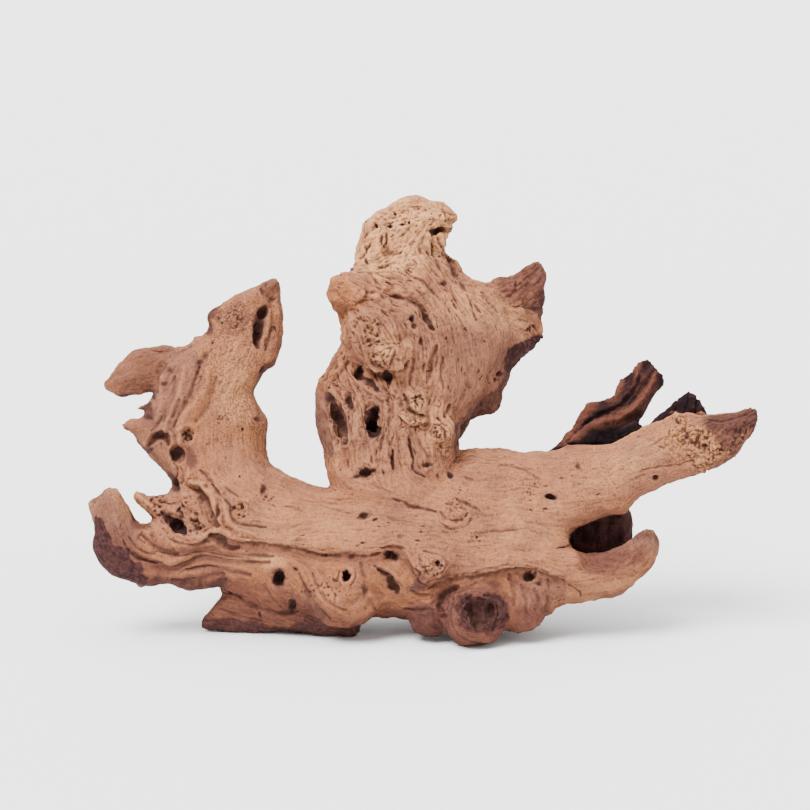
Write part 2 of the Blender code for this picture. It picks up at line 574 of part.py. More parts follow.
def weather(obj):
    """Moves the skin in and out: the rim over the underside, the furrows, the swelling and the burl's flutes."""
    mesh = obj.data
    places = np.empty(len(mesh.vertices) * 3)
    mesh.vertices.foreach_get("co", places)
    places = places.reshape(-1, 3)
    normals = np.empty(len(mesh.vertices) * 3, np.float32)
    mesh.vertex_normals.foreach_get("vector", normals)
    normals = normals.reshape(-1, 3)
    p = off_board(places)
    u, v = p[:, 0], p[:, 1]
    facing = np.clip(-(normals @ np.array([0, math.cos(LEAN), -math.sin(LEAN)])), 0, 1)
    front = np.clip(facing / FRONT_TURN, 0, 1)
    side = from_line(p[:, :2], RIM)
    near = np.exp(-((side / RIM_REACH) ** 2)) * front
    push = SWELL + RIM_STEP * np.tanh(side / RIM_WIDTH) * near
    for width, depth, line in FURROWS:
        push -= depth * np.exp(-((from_line(p[:, :2], line) / width) ** 2)) * front
    for height, length, turn in SWELLING:
        push += (1 + front) / 2 * height * waves(p, length, turn)
    amount, length, turn = FLUTE_WANDER
    across = p[:, :2] @ np.array(FLUTE_ACROSS)
    flute = np.sin(across * 2 * math.pi / FLUTE_WIDTH + amount * waves(p, length, turn))
    inside = np.minimum(np.minimum(v - BURL_FOOT, u - BURL_SIDES[0]), BURL_SIDES[1] - u)
    push += FLUTE_HEIGHT * flute * np.clip(inside / BURL_FADE, 0, 1) * facing
    moved = places + normals * push[:, None] * MM
    mesh.vertices.foreach_set("co", moved.astype(np.float32).ravel())
    mesh.update()


def thin_out(obj):
    """Fewer, larger faces where the skin is even, down to TRIANGLES."""
    cut = obj.modifiers.new("Facets", "DECIMATE")
    cut.ratio = TRIANGLES / sum(len(f.vertices) - 2 for f in obj.data.polygons)
    cut.use_collapse_triangulate = True
    obj.data = evaluated(obj, obj.name)
    obj.modifiers.clear()


def slab(name, low, high, helpers):
    """A box cutter between two world corners, in metres."""
    bpy.ops.mesh.primitive_cube_add(size=1, location=[(a + b) / 2 for a, b in zip(low, high)])
    obj = bpy.context.object
    obj.name = name
    obj.scale = [b - a for a, b in zip(low, high)]
    bpy.ops.object.transform_apply(location=True, rotation=True, scale=True)
    for other in obj.users_collection:
        other.objects.unlink(obj)
    helpers.objects.link(obj)
    return obj


def fork_block(name, area, depths, grow, helpers):
    """A cutter on the board around one branch, every side of it moved out by grow mm."""
    corners = np.array(area, float)
    edge = np.roll(corners, -1, axis=0) - corners
    out = np.stack([edge[:, 1], -edge[:, 0]], axis=1) / np.linalg.norm(edge, axis=1)[:, None]
    before = np.roll(out, 1, axis=0)
    moved = corners + (out + before) * grow / (1 + (out * before).sum(axis=1))[:, None]
    low, high = depths[0] - grow, depths[1] + grow
    mesh = bpy.data.meshes.new(name)
    bm = bmesh.new()
    verts = [bm.verts.new(place) for w in (low, high) for place in board([(*c, w) for c in moved])]
    bmesh.ops.convex_hull(bm, input=verts)
    bmesh.ops.recalc_face_normals(bm, faces=bm.faces)
    bm.to_mesh(mesh)
    bm.free()
    obj = bpy.data.objects.new(name, mesh)
    helpers.objects.link(obj)
    return obj


def cut_by(obj, cutter, operation):
    """Adds a cut to an object: a Boolean with the cutter."""
    cut = obj.modifiers.new(operation.title(), "BOOLEAN")
    cut.operation = operation
    cut.solver = "EXACT"
    cut.object = cutter
    return cut


def wood(name, colour, roughness):
    """Plain wood of one colour."""
    material = bpy.data.materials.new(name)
    material.use_nodes = True
    shader = material.node_tree.nodes["Principled BSDF"]
    shader.inputs["Base Color"].default_value = (*colour, 1)
    shader.inputs["Roughness"].default_value = roughness
    shader.inputs["Metallic"].default_value = 0
    return material


def main():
    """Builds the whole root, levels its feet, and parts it at its forks."""
    for obj in list(bpy.data.objects):
        bpy.data.objects.remove(obj)
    parts = bpy.data.collections.new("mopani_root")
    helpers = bpy.data.collections.new("cutters")
    for collection in (parts, helpers):
        bpy.context.scene.collection.children.link(collection)
    meshes = [loft(name, rows) for name, rows in LIMBS.items()]
    meshes += [ball(name, centre, sizes) for name, (centre, sizes) in LUMPS.items()]
    whole = joined("whole_root", meshes, helpers)
    fuse(whole, FUSE_VOXEL, WEAR_ROUNDS)
    bore(whole, helpers)
    fuse(whole, FUSE_VOXEL, BORED_WEAR_ROUNDS)
    weather(whole)
    thin_out(whole)
    ground = slab("ground", (-GROUND, -GROUND, -GROUND), (GROUND, GROUND, 0), helpers)
    cut_by(whole, ground, "DIFFERENCE")
    whole.data = evaluated(whole, "whole_root")
    whole.modifiers.clear()
    pale, dark = wood("pale_wood", PALE, 0.75), wood("dark_wood", DARK, 0.6)
    trunk = bpy.data.objects.new("trunk", whole.data.copy())
    parts.objects.link(trunk)
    trunk.data.materials.append(pale)
    for name, (area, depths) in FORKS.items():
        branch = bpy.data.objects.new(name, whole.data.copy())
        parts.objects.link(branch)
        branch.data.materials.append(dark if name == "rear_fork" else pale)
        cut_by(branch, fork_block(name + "_block", area, depths, -SAW_GAP / 2, helpers), "INTERSECT")
        cut_by(trunk, fork_block(name + "_saw", area, depths, SAW_GAP / 2, helpers), "DIFFERENCE")
    for obj in helpers.objects:
        obj.hide_render = True
        obj.display_type = "WIRE"


main()
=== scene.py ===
import math

import bmesh
import bpy
import numpy as np
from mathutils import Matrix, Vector


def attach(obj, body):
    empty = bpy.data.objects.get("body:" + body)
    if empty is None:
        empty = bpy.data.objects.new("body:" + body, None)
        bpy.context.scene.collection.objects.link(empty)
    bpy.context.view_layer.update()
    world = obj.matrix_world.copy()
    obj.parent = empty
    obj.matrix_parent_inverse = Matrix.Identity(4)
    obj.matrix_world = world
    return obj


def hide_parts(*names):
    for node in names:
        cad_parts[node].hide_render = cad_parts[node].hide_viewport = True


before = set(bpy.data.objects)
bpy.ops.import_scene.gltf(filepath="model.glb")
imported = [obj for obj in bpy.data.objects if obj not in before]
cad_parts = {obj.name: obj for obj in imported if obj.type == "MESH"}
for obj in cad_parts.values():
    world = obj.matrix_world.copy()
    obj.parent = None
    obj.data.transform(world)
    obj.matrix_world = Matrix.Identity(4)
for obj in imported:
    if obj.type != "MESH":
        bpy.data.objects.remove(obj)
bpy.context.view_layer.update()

# The root's skin: one grown piece of dense wood, worn round by water and sand. The solids are swollen over
# their saw cuts, fused, smoothed and cut finer in front. Places on the skin are given on a board that leans
# back by LEAN: u to the right, v up and w away from the viewer, in mm.
MM = 0.001
LEAN = math.radians(12)
FLOOR_V = 5.0
CENTRE_Y = 22.0
SWELL = 0.5  # more than half the width of a saw cut
SET_BACK = 0.4  # how far the fused skin is drawn in again, so that its ridges end at the solids' outline
COARSE = 1.33  # size of the skin's faces at the back, twice that of those in front
SEEN_DEPTH = 12  # how far behind the frontmost skin the viewer still sees it
FACET_WEAR = 10  # rounds of smoothing that wear off the solids' facets


def on_board(places):
    """World places in metres as (u, v, w) in mm: x is u, and y and z are turned back by LEAN about X."""
    x, y, z = np.asarray(places, float).reshape(-1, 3).T / MM
    y = y + CENTRE_Y
    v = y * math.sin(LEAN) + z * math.cos(LEAN) + FLOOR_V
    w = y * math.cos(LEAN) - z * math.sin(LEAN)
    return np.stack([x, v, w], axis=1)


def off_board(points):
    """The inverse of on_board: (u, v, w) in mm as world places in metres."""
    u, v, w = np.asarray(points, float).reshape(-1, 3).T
    rise = v - FLOOR_V
    y = rise * math.sin(LEAN) + w * math.cos(LEAN) - CENTRE_Y
    z = rise * math.cos(LEAN) - w * math.sin(LEAN)
    return np.stack([u, y, z], axis=1) * MM


def read(elements, what, width, kind=np.float32):
    """One property of all of a mesh's elements, as rows of the given width."""
    values = np.empty(len(elements) * width, kind)
    elements.foreach_get(what, values)
    return values.reshape(-1, width)


def applied(mesh, **settings):
    """The mesh after one modifier: a dictionary of settings for each kind of modifier."""
    obj = bpy.data.objects.new("bench", mesh)
    bpy.context.scene.collection.objects.link(obj)
    for kind, values in settings.items():
        modifier = obj.modifiers.new(kind, kind)
        for name, value in values.items():
            setattr(modifier, name, value)
    graph = bpy.context.evaluated_depsgraph_get()
    result = bpy.data.meshes.new_from_object(obj.evaluated_get(graph))
    bpy.data.objects.remove(obj)
    return result


def fused_skin():
    """All solids in one mesh, each point moved out by SWELL along its normal, and one even skin drawn round
    them, which is then drawn in by SET_BACK."""
    bm = bmesh.new()
    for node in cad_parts.values():
        bm.from_mesh(node.data)
    bmesh.ops.remove_doubles(bm, verts=bm.verts, dist=1e-6)
    mesh = bpy.data.meshes.new("swollen")
    bm.to_mesh(mesh)
    bm.free()
    places = read(mesh.vertices, "co", 3) + read(mesh.vertex_normals, "vector", 3) * SWELL * MM
    mesh.vertices.foreach_set("co", places.ravel())
    mesh = applied(
        mesh,
        REMESH={"mode": "VOXEL", "voxel_size": COARSE * MM},
        SMOOTH={"factor": 0.5, "iterations": FACET_WEAR},
    )
    places = read(mesh.vertices, "co", 3) - read(mesh.vertex_normals, "vector", 3) * SET_BACK * MM
    mesh.vertices.foreach_set("co", places.ravel())
    return mesh


def behind_front(points, cell=2.0, corner=(-250, -50), columns=400):
    """How far points lie behind the frontmost skin: their w less the least w in their board square."""
    column = np.floor((points[:, 0] - corner[0]) / cell).astype(int)
    row = np.floor((points[:, 1] - corner[1]) / cell).astype(int)
    index = row * columns + column
    front = np.full(index.max() + 1, 1e9)
    np.minimum.at(front, index, points[:, 2])
    return points[:, 2] - front[index]


def turned(vectors):
    """Directions in world axes as directions on the board."""
    return on_board(vectors * MM) - on_board(np.zeros(3))


def cut_finer(mesh):
    """Every face that can be seen from the front is cut in four, and the new points are smoothed in."""
    points = on_board(read(mesh.vertices, "co", 3))
    normals = turned(read(mesh.vertex_normals, "vector", 3))
    shown = (normals[:, 2] < 0.1) & (behind_front(points) < SEEN_DEPTH)
    bm = bmesh.new()
    bm.from_mesh(mesh)
    edges = {edge for face in bm.faces if all(shown[v.index] for v in face.verts) for edge in face.edges}
    bmesh.ops.subdivide_edges(bm, edges=list(edges), cuts=1, use_grid_fill=True)
    bmesh.ops.triangulate(bm, faces=bm.faces)
    finer = bpy.data.meshes.new("skin")
    bm.to_mesh(finer)
    bm.free()
    return applied(finer, SMOOTH={"factor": 0.5, "iterations": 3})


skin = cut_finer(fused_skin())
p = on_board(read(skin.vertices, "co", 3))  # each point of the skin on the board
n = turned(read(skin.vertex_normals, "vector", 3))  # and the way that the skin faces there
triangles = read(skin.polygons, "vertices", 3, np.int32)
# front is 1 where the viewer sees the skin, and falls to 0 where it turns away or lies deeper.
front = np.clip((0.35 - n[:, 2]) / 0.45, 0, 1) * np.clip((SEEN_DEPTH + 4 - behind_front(p)) / 6, 0, 1)
ends = read(skin.edges, "vertices", 2, np.int32)
edges_at = np.bincount(ends.ravel(), minlength=len(p))


def relaxed(values, rounds):
    """Values at the points, in each round replaced by the mean of the values at the other ends of the
    point's edges."""
    for turn in range(rounds):
        total = np.bincount(ends[:, 0], values[ends[:, 1]], len(p))
        total += np.bincount(ends[:, 1], values[ends[:, 0]], len(p))
        values = total / edges_at
    return values


# sunk is above 0 in the hollows of the bare form, where the relaxed skin lies further out; the colour paints
# shade there.
sunk = sum((relaxed(p[:, k], 24) - p[:, k]) * n[:, k] for k in range(3))


# The root's grain: the fibres of the grown wood, which run along every limb and swirl round the knots. They
# are drawn as lines on the board, and the relief and the colour follow them as fine ridges and streaks.
GRAIN = [
    # the burl
    [(-40, 225), (-33, 245), (-18, 257), (0, 259), (16, 257)],
    [(-38, 222), (-20, 229), (-6, 239), (4, 252)],
    [(4, 242), (7, 232), (14, 220), (22, 208), (30, 195), (36, 183)],
    [(0, 235), (6, 222), (14, 208), (22, 192), (28, 175), (30, 160), (27, 145), (20, 134)],
    [(-10, 228), (0, 214), (8, 200), (14, 185), (17, 170), (17, 155), (14, 140)],
    [(-30, 222), (-15, 215), (-3, 207), (4, 195), (8, 182), (9, 168), (6, 155), (3, 148)],
    [(-45, 216), (-32, 210), (-18, 205), (-8, 196), (-3, 184), (-2, 172), (-4, 160)],
    [(-56, 212), (-46, 211), (-38, 206)],
    [(-53, 200), (-48, 192), (-45, 183), (-44, 176)],
    [(15, 228), (24, 216), (36, 206), (50, 198), (64, 190), (70, 186)],
    [(25, 200), (36, 188), (44, 176), (47, 166)],
    [(40, 200), (50, 190), (55, 182)],
    [(45, 185), (42, 170), (38, 158), (30, 145)],
    [(45, 213), (55, 218), (64, 225), (68, 229)],
    [(52, 206), (62, 211), (71, 219)],
    [(-46, 182), (-53, 170), (-61, 160), (-63, 145), (-62, 125), (-58, 108), (-52, 97)],
    [(-45, 172), (-38, 160), (-30, 152), (-22, 150)],
    [(-52, 160), (-44, 150), (-42, 138), (-40, 122), (-38, 112)],
    [(-22, 158), (-20, 145), (-20, 130), (-21, 115), (-20, 100)],
    [(-12, 135), (-11, 124), (-8, 112), (-4, 103), (4, 98)],
    [(12, 165), (13, 150), (9, 138)],
    [(14, 135), (16, 122), (15, 112), (18, 104), (26, 100)],
    # the trunk's pale face and its rim
    [(-98, 106), (-84, 98), (-68, 92), (-50, 88), (-30, 88), (-14, 85), (0, 81), (10, 80)],
    [(18, 88), (26, 85), (34, 81)],
    [(-112, 70), (-95, 71), (-75, 74), (-55, 77), (-35, 78), (-15, 76), (0, 74)],
    [(-108, 64), (-85, 64), (-60, 63), (-35, 64), (-10, 67), (10, 66), (35, 66), (60, 64), (85, 60)],
    [(-100, 60), (-84, 59), (-68, 57), (-54, 55), (-40, 54), (-28, 57), (-14, 58), (-8, 50), (-4, 42),
     (4, 38)],
    [(4, 38), (16, 40), (30, 42), (46, 45), (60, 46), (72, 43), (84, 38), (96, 37), (108, 39),
     (120, 44), (130, 54)],
    [(-6, 58), (4, 58), (16, 56), (35, 54), (60, 54), (85, 54), (95, 52)],
    [(20, 104), (36, 106), (52, 106), (70, 104), (90, 104), (110, 108), (130, 116), (145, 124)],
    [(26, 113), (45, 114), (70, 112), (90, 114), (110, 115), (130, 122)],
    [(34, 92), (55, 94), (75, 92), (95, 92), (115, 98), (135, 104), (152, 108), (168, 114), (182, 122),
     (192, 132)],
    [(40, 78), (60, 78), (80, 76), (90, 72)],
    [(112, 82), (125, 88), (140, 97), (155, 103), (175, 112), (188, 120)],
    # the lips of the right hook
    [(92, 66), (94, 58), (104, 52), (118, 50), (130, 54), (136, 62)],
    [(96, 46), (112, 44), (128, 46), (136, 56)],
    [(76, 28), (92, 29), (110, 33), (124, 40), (134, 50)],
    # the underside and the foot
    [(-110, 56), (-95, 56), (-80, 55), (-66, 52), (-50, 51)],
    [(-130, 50), (-115, 46), (-100, 45), (-88, 44)],
    [(-125, 42), (-112, 43), (-100, 38), (-92, 30), (-80, 20), (-66, 14)],
    [(-122, 30), (-112, 30), (-100, 24), (-86, 19), (-74, 16), (-62, 10)],
    [(-128, 20), (-112, 16), (-95, 14), (-80, 12), (-60, 8)],
    [(-78, 52), (-72, 42), (-66, 30), (-60, 22), (-50, 16), (-38, 14), (-30, 20), (-20, 22)],
    [(-68, 50), (-62, 40), (-58, 32), (-50, 24), (-42, 22), (-36, 28)],
    [(-35, 52), (-30, 46), (-22, 40), (-16, 32), (-10, 26), (0, 24), (8, 30), (14, 36)],
    [(-20, 22), (-8, 20), (2, 12), (8, 8)],
    [(-8, 28), (4, 27), (12, 34)],
    [(50, 38), (56, 30), (60, 22), (66, 16)],
    [(60, 44), (68, 38), (70, 28), (72, 20)],
    # the left hook and the bands that run from it into the trunk
    [(-175, 68), (-170, 58), (-160, 52), (-150, 49), (-140, 51), (-128, 54), (-118, 52), (-108, 50),
     (-95, 50)],
    [(-165, 66), (-155, 58), (-146, 55), (-135, 57), (-124, 62), (-116, 60), (-108, 58)],
    [(-178, 50), (-168, 46), (-156, 44), (-146, 43), (-136, 47), (-124, 46), (-112, 43)],
    [(-165, 38), (-150, 37), (-138, 36), (-126, 38)],
    [(-190, 88), (-190, 78), (-186, 66), (-180, 56), (-172, 48)],
    [(-196, 80), (-195, 66), (-192, 54), (-184, 45), (-172, 39)],
    [(-172, 90), (-165, 82), (-158, 76), (-150, 66), (-140, 61), (-130, 60)],
    [(-160, 87), (-150, 86), (-142, 88)],
    [(-143, 95), (-134, 92), (-129, 84), (-125, 74), (-118, 66), (-108, 64)],
    [(-132, 98), (-126, 90), (-119, 84), (-116, 76), (-110, 70), (-100, 70)],
    [(-125, 98), (-116, 92), (-106, 88), (-96, 84)],
    # the left branch, its paddle and its spike
    [(-152, 92), (-147, 104), (-148, 116), (-150, 128), (-147, 140), (-142, 152), (-138, 164),
     (-134, 176), (-128, 188)],
    [(-142, 100), (-140, 112), (-144, 124), (-146, 134), (-140, 144), (-134, 156), (-128, 168),
     (-122, 182)],
    [(-122, 182), (-118, 198), (-108, 206)],
    [(-130, 104), (-130, 120), (-132, 134), (-126, 148), (-118, 162), (-112, 178), (-106, 192),
     (-100, 205), (-94, 214)],
    [(-112, 100), (-112, 118), (-114, 134), (-110, 150), (-106, 166), (-103, 180)],
    [(-92, 106), (-97, 114), (-98, 126), (-96, 136), (-100, 150), (-100, 162), (-93, 172), (-88, 186),
     (-86, 200)],
    [(-160, 108), (-165, 120), (-160, 132), (-158, 144), (-154, 158), (-148, 168), (-140, 178)],
    [(-191, 156), (-178, 160), (-166, 163), (-158, 166), (-150, 174), (-140, 179)],
    [(-184, 167), (-172, 173), (-160, 176), (-148, 176)],
    [(-180, 151), (-168, 152), (-160, 154)],
    [(-179, 132), (-170, 131), (-163, 134), (-158, 142)],
]
REAR_GRAIN = [
    [(82, 116), (95, 124), (106, 135), (118, 146), (128, 158), (136, 168)],
    [(90, 120), (104, 132), (118, 137), (130, 148), (140, 158)],
    [(132, 128), (146, 140), (160, 150)],
    [(104, 56), (104, 66), (103, 76)],
    [(118, 60), (121, 72), (122, 82)],
]
# Knots that the fibres run round: their middle on the board and their radius.
KNOTS = [
    ((-6, 146), 7),
    ((8, 127), 7),
    ((-26, 174), 9),
    ((18, 78), 11),
    ((8, 49), 7),
    ((33, 22), 17),
    ((-46.5, 42), 6),
    ((-86, 41), 7),
    ((-147, 113), 7),
    ((-36, 78), 5),
    ((62, 41), 6),
    ((75, 89), 5),
    ((-139, 80), 8),
    ((-110, 80), 7),
]
CELL = 2.0  # the grain is worked out on squares of this size on the board
CORNER = (-230, -20)
COUNT = (230, 150)


def grain_squares(lines, knots):
    """The grain's turn at every square, as the cosine and sine of twice its angle: the mean over all
    stretches of all lines, each weighted by one over the cube of its distance, and near a knot the way
    round it instead."""
    u = CORNER[0] + CELL * np.arange(COUNT[0])
    v = CORNER[1] + CELL * np.arange(COUNT[1])
    u, v = np.meshgrid(u, v, indexing="ij")
    total = np.zeros(u.shape, complex)
    for line in lines:
        corners = np.array(line, float) @ [1, 1j]
        for a, b in zip(corners[:-1], corners[1:]):
            along = b - a
            place = u + 1j * v - a
            share = np.clip((place * along.conjugate()).real / abs(along) ** 2, 0, 1)
            far = np.abs(place - share * along)
            total += (along / abs(along)) ** 2 / (far**2 + 4.0) ** 1.5
    total /= np.abs(total) + 1e-12
    for (ku, kv), radius in knots:
        place = (u - ku) + 1j * (v - kv)
        far = np.abs(place) + 1e-6
        pull = np.exp(-((far / radius / 1.1) ** 4))
        total = total * (1 - pull) + pull * (1j * place / far) ** 2
    return total / (np.abs(total) + 1e-12)


# One random value for each corner of a block of cubes, which repeats after BLOCK of them.
BLOCK = 96
RANDOM = np.random.default_rng(7).random((BLOCK, BLOCK, BLOCK), dtype=np.float32)


def noise(points, size, seed=0):
    """Smooth noise from -1 to 1 with lumps of the given size in mm: random values at the corners of cubes,
    mixed by how near each corner is."""
    place = points / size + np.array([13.7, 5.1, 29.3]) * (seed + 1)
    low = np.floor(place).astype(int)
    share = place - low
    share = share * share * (3 - 2 * share)
    total = 0
    for i in (0, 1):
        a = share[:, 0] if i else 1 - share[:, 0]
        for j in (0, 1):
            b = share[:, 1] if j else 1 - share[:, 1]
            for k in (0, 1):
                c = share[:, 2] if k else 1 - share[:, 2]
                corner = RANDOM[tuple((low + (i, j, k)).T % BLOCK)]
                total = total + corner * a * b * c
    return total * 2 - 1


def heading(places, squares, normals):
    """The grain's direction at each place, from the four squares about it, laid into the skin there."""
    u = np.clip((places[:, 0] - CORNER[0]) / CELL, 0, COUNT[0] - 2)
    v = np.clip((places[:, 1] - CORNER[1]) / CELL, 0, COUNT[1] - 2)
    i = u.astype(int)
    j = v.astype(int)
    a = u - i
    b = v - j
    turn = squares[i, j] * (1 - a) * (1 - b) + squares[i + 1, j] * a * (1 - b)
    turn = turn + squares[i, j + 1] * (1 - a) * b + squares[i + 1, j + 1] * a * b
    angle = np.angle(turn) / 2
    way = np.stack([np.cos(angle), np.sin(angle), np.zeros(len(angle))], axis=1)
    way -= normals * (way * normals).sum(1)[:, None]
    return way / (np.linalg.norm(way, axis=1)[:, None] + 0.05)


def streaks(points, normals, squares, size, reach, seed):
    """Noise drawn out along the grain: its mean over a path that follows the grain for reach steps either
    way from each point, made even so that its spread is 1."""
    total = noise(points, size, seed)
    for way in (1, -1):
        place = points.copy()
        last = heading(place, squares, normals) * way
        for step in range(reach):
            place = place + last * size
            total = total + noise(place, size, seed) * (1 - step / reach)
            now = heading(place, squares, normals)
            last = now * np.where((now * last).sum(1) < 0, -1, 1)[:, None]
    return (total - total.mean()) / total.std()


def soft(x, low, high):
    """0 below low, 1 above high, and a smooth step between."""
    t = np.clip((x - low) / (high - low), 0, 1)
    return t * t * (3 - 2 * t)


wander = np.stack([noise(p, 26, 1), noise(p, 26, 2), noise(p, 26, 3)], axis=1)
wavy = p + 2.2 * wander + 0.8 * np.stack([noise(p, 9, 4), noise(p, 9, 5), noise(p, 9, 6)], axis=1)
squares = grain_squares(GRAIN, KNOTS)
rear_squares = grain_squares(REAR_GRAIN, [])
rear = (p[:, 2] > 8) & (p[:, 0] > 74) & (p[:, 1] > 10)
fine, middle, broad, fleck, gouge, rope, fold = np.empty((7, len(p)))
for part, field in ((~rear, squares), (rear, rear_squares)):
    for values, size, reach, seed in (
        (fine, 0.65, 9, 10),
        (middle, 1.5, 8, 11),
        (broad, 4.5, 5, 12),
        (fleck, 0.95, 2, 13),
        (gouge, 2.1, 3, 14),
        (rope, 3.4, 5, 15),
        (fold, 7.0, 3, 16),
    ):
        values[part] = streaks(wavy[part], n[part], field, size, reach, seed)
# crack is 1 on the lines between bundles of fibres, lumpy and crust are lumps that don't follow the grain.
crack = soft(0.14 - np.abs(broad + 0.35 * middle), 0.0, 0.12) * soft(noise(p, 7, 44), 0.2, 0.5)
lumpy = 0.6 * noise(p, 7, 45) + 0.4 * noise(p, 3.4, 46)
crust = 0.6 * noise(p, 1.9, 50) + 0.4 * noise(p, 1.2, 51)

# lift is how far the relief moves each point out along its normal. Its second term makes the outline ragged.
lift = noise(p, 16, 40) + 0.6 * noise(p, 7, 41)
lift += 0.45 * (1 - np.abs(n[:, 2])) * (noise(p, 4.5, 52) + 0.5 * noise(p, 2.2, 53))
hollow = np.zeros(len(p))  # painted shade: 1 deep in a hole, a pit, a crack or a crease
downward = n[:, 2] * math.sin(LEAN) - n[:, 1] * math.cos(LEAN)
ruddy_and_painted_shading = 0.55 * soft(downward, 0.0, 0.8)  # 1 where the wood is red, and painted shade where it faces down, which darkens the undersides
tawny = np.zeros(len(p))  # 1 where it is orange
dusky_and_painted_shade = np.zeros(len(p))  # 1 where it is dull and darker: the wood's dull tone, painted shade beside creases, and darker rings round holes
behind = n[:, 2] + 0.5 * noise(p, 22, 47) + 0.25 * noise(p, 7, 48)
bark = 0.9 * soft(behind, 0.25, 0.5)  # 1 on the dark bark that is left, as it is over most of the back
edge = soft(behind, -0.45, -0.05) * soft(downward, -0.5, 0.2)
bark = np.maximum(bark, 0.5 * edge)  # and thinly along the edges that face down or sideways
by_fork = soft(p[:, 2], 1, 7) * soft(p[:, 0], 58, 74) * soft(p[:, 1], 20, 40) * (1 - front)
bark = np.maximum(bark, by_fork)  # and thickly where the dark rear fork leaves the back
crumb = np.zeros(len(p))  # 1 on crumbling wood
specked = np.zeros(len(p))  # 1 where it is thick with dark specks
bleached_and_highlight = np.zeros(len(p))  # 1 where it is bleached to cream, and a painted highlight on tops that face the light, on raised curls and on a shadowed wall
rough = np.full(len(p), 0.45)  # how strongly the grain stands out: 1 where the fibres are worn into ridges
rearward = soft(n[:, 2], 0.25, 0.65) * (1 - front)  # 1 on the back, which is torn along the grain
rough += 0.4 * rearward * soft(noise(p, 20, 55), -0.4, 0.4)
lift += rearward * (0.6 * broad + 0.7 * fold + 0.7 * lumpy - 1.5 * soft(gouge, 1.2, 2.4) - crack)
pitted = np.full(len(p), 0.2)  # how thickly small pits are strewn along the grain
# q is each point's place on the board for what is carved below, shaken so that its shapes come out ragged.
q = p[:, :2] + 0.7 * wander[:, :2] + 0.5 * np.stack([noise(p, 3.5, 42), noise(p, 3.5, 43)], axis=1)


# The left branch: a pale, upright limb that grew out of the root and was sandblasted to a fine grit. It has
# wavy ridges down its left side, a paddle, a spike and a splinter that stand out to the left, and a slit in
# its tip.
def near(line, reach):
    """The numbers of the points that the viewer sees within reach of the box round a line."""
    low = np.min(line, axis=0) - reach
    high = np.max(line, axis=0) + reach
    inside = np.all((p[:, :2] > low) & (p[:, :2] < high), axis=1) & (front > 0)
    return np.nonzero(inside)[0]


def rounded(line):
    """A line with its corners cut off twice: each gives way to points a quarter along its two sides."""
    corners = np.array(line, float)
    for turn in range(2):
        early = corners[:-1] * 0.75 + corners[1:] * 0.25
        late = corners[:-1] * 0.25 + corners[1:] * 0.75
        quarters = np.stack([early, late], axis=1).reshape(-1, 2)
        corners = np.concatenate([corners[:1], quarters[1:-1], corners[-1:]])
    return corners


def oval(u, v, wide, tall, lean, reach):
    """The points about an oval with half-axes wide and tall, turned by lean degrees, out to reach
    half-axes: their numbers, and how many half-axes each lies from the oval's middle."""
    at = near([(u, v)], reach * max(wide, tall))
    turn = complex(math.cos(math.radians(lean)), -math.sin(math.radians(lean)))
    place = ((q[at, 0] - u) + 1j * (q[at, 1] - v)) * turn
    return at, np.hypot(place.real / wide, place.imag / tall)


def hole(u, v, wide, tall, deep, dark=1.0, lean=0, rim=0.0):
    """An oval hole: s is the distance from its middle in half-axes, made ragged by noise. The skin sinks
    from s = 1.25 inwards, swells by rim about s = 1.45, is painted dark as shade inside s = 1.3, and is
    painted darker out to s = 2.1."""
    at, s = oval(u, v, wide, tall, lean, 2.3)
    s += 0.24 * noise(p[at], 0.5 * max(wide, tall) + 0.6, 20) + 0.14 * noise(p[at], 1.3, 21)
    lift[at] += front[at] * (rim * np.exp(-(((s - 1.45) / 0.3) ** 2)) - deep * (1 - soft(s, 0.2, 1.25)))
    hollow[at] = np.maximum(hollow[at], front[at] * dark * (1 - soft(s, 0.35, 1.3)))
    dusky_and_painted_shade[at] = np.maximum(dusky_and_painted_shade[at], front[at] * 0.6 * dark * (1 - soft(s, 0.9, 2.1)))


def beside(line, at):
    """How far points lie from a line of stretches, and at what share of its length each is nearest."""
    corners = np.array(line, float) @ [1, 1j]
    lengths = np.abs(np.diff(corners))
    place = q[at, 0] + 1j * q[at, 1]
    nearest = np.full(len(at), 1e9)
    share = np.zeros(len(at))
    before = 0.0
    for a, b, length in zip(corners[:-1], corners[1:], lengths):
        along = np.clip(((place - a) * (b - a).conjugate()).real / length**2, 0, 1)
        far = np.abs(place - a - along * (b - a))
        share = np.where(far < nearest, (before + along * length) / lengths.sum(), share)
        nearest = np.minimum(nearest, far)
        before += length
    return nearest, share


def tapered(half, share):
    """A half-width along a line: least at both ends, with the root of a sine of the share of its length
    between."""
    return half * (0.3 + 0.7 * np.sqrt(np.sin(np.pi * np.clip(share, 0.02, 0.98))))


def furrow(line, half, deep, dark=0.6):
    """A furrow along a line of stretches: a bell curve of half-width half across it, which narrows to both
    ends and comes and goes along it, between two low banks. A depth below 0 makes a ridge."""
    at = near(line, 4 * half + 2)
    far, share = beside(rounded(line), at)
    along = (noise(p[at], 4, 22) + 0.7 * noise(p[at], 1.8, 25)) / max(1, half - 0.5)
    width = tapered(half, share) * (1 + 0.4 * along)
    bell = np.exp(-((far / width) ** 2)) * front[at]
    bank = np.exp(-(((far / width - 2.0) / 0.8) ** 2)) * front[at]
    lift[at] += deep * ((0.25 * bank if deep > 0 else 0) - bell * (1 + 0.3 * along))
    # painted shade in the furrow, broken along it, and wider painted shade beside it
    broken = 0.45 + 0.55 * soft(along, -0.5, 0.5)
    hollow[at] = np.maximum(hollow[at], 0.6 * dark * soft(bell, 0.25, 1.0) * broken)
    dusky_and_painted_shade[at] = np.maximum(dusky_and_painted_shade[at], 0.9 * dark * np.exp(-((far / (2.2 * width + 0.6)) ** 2)) * front[at])


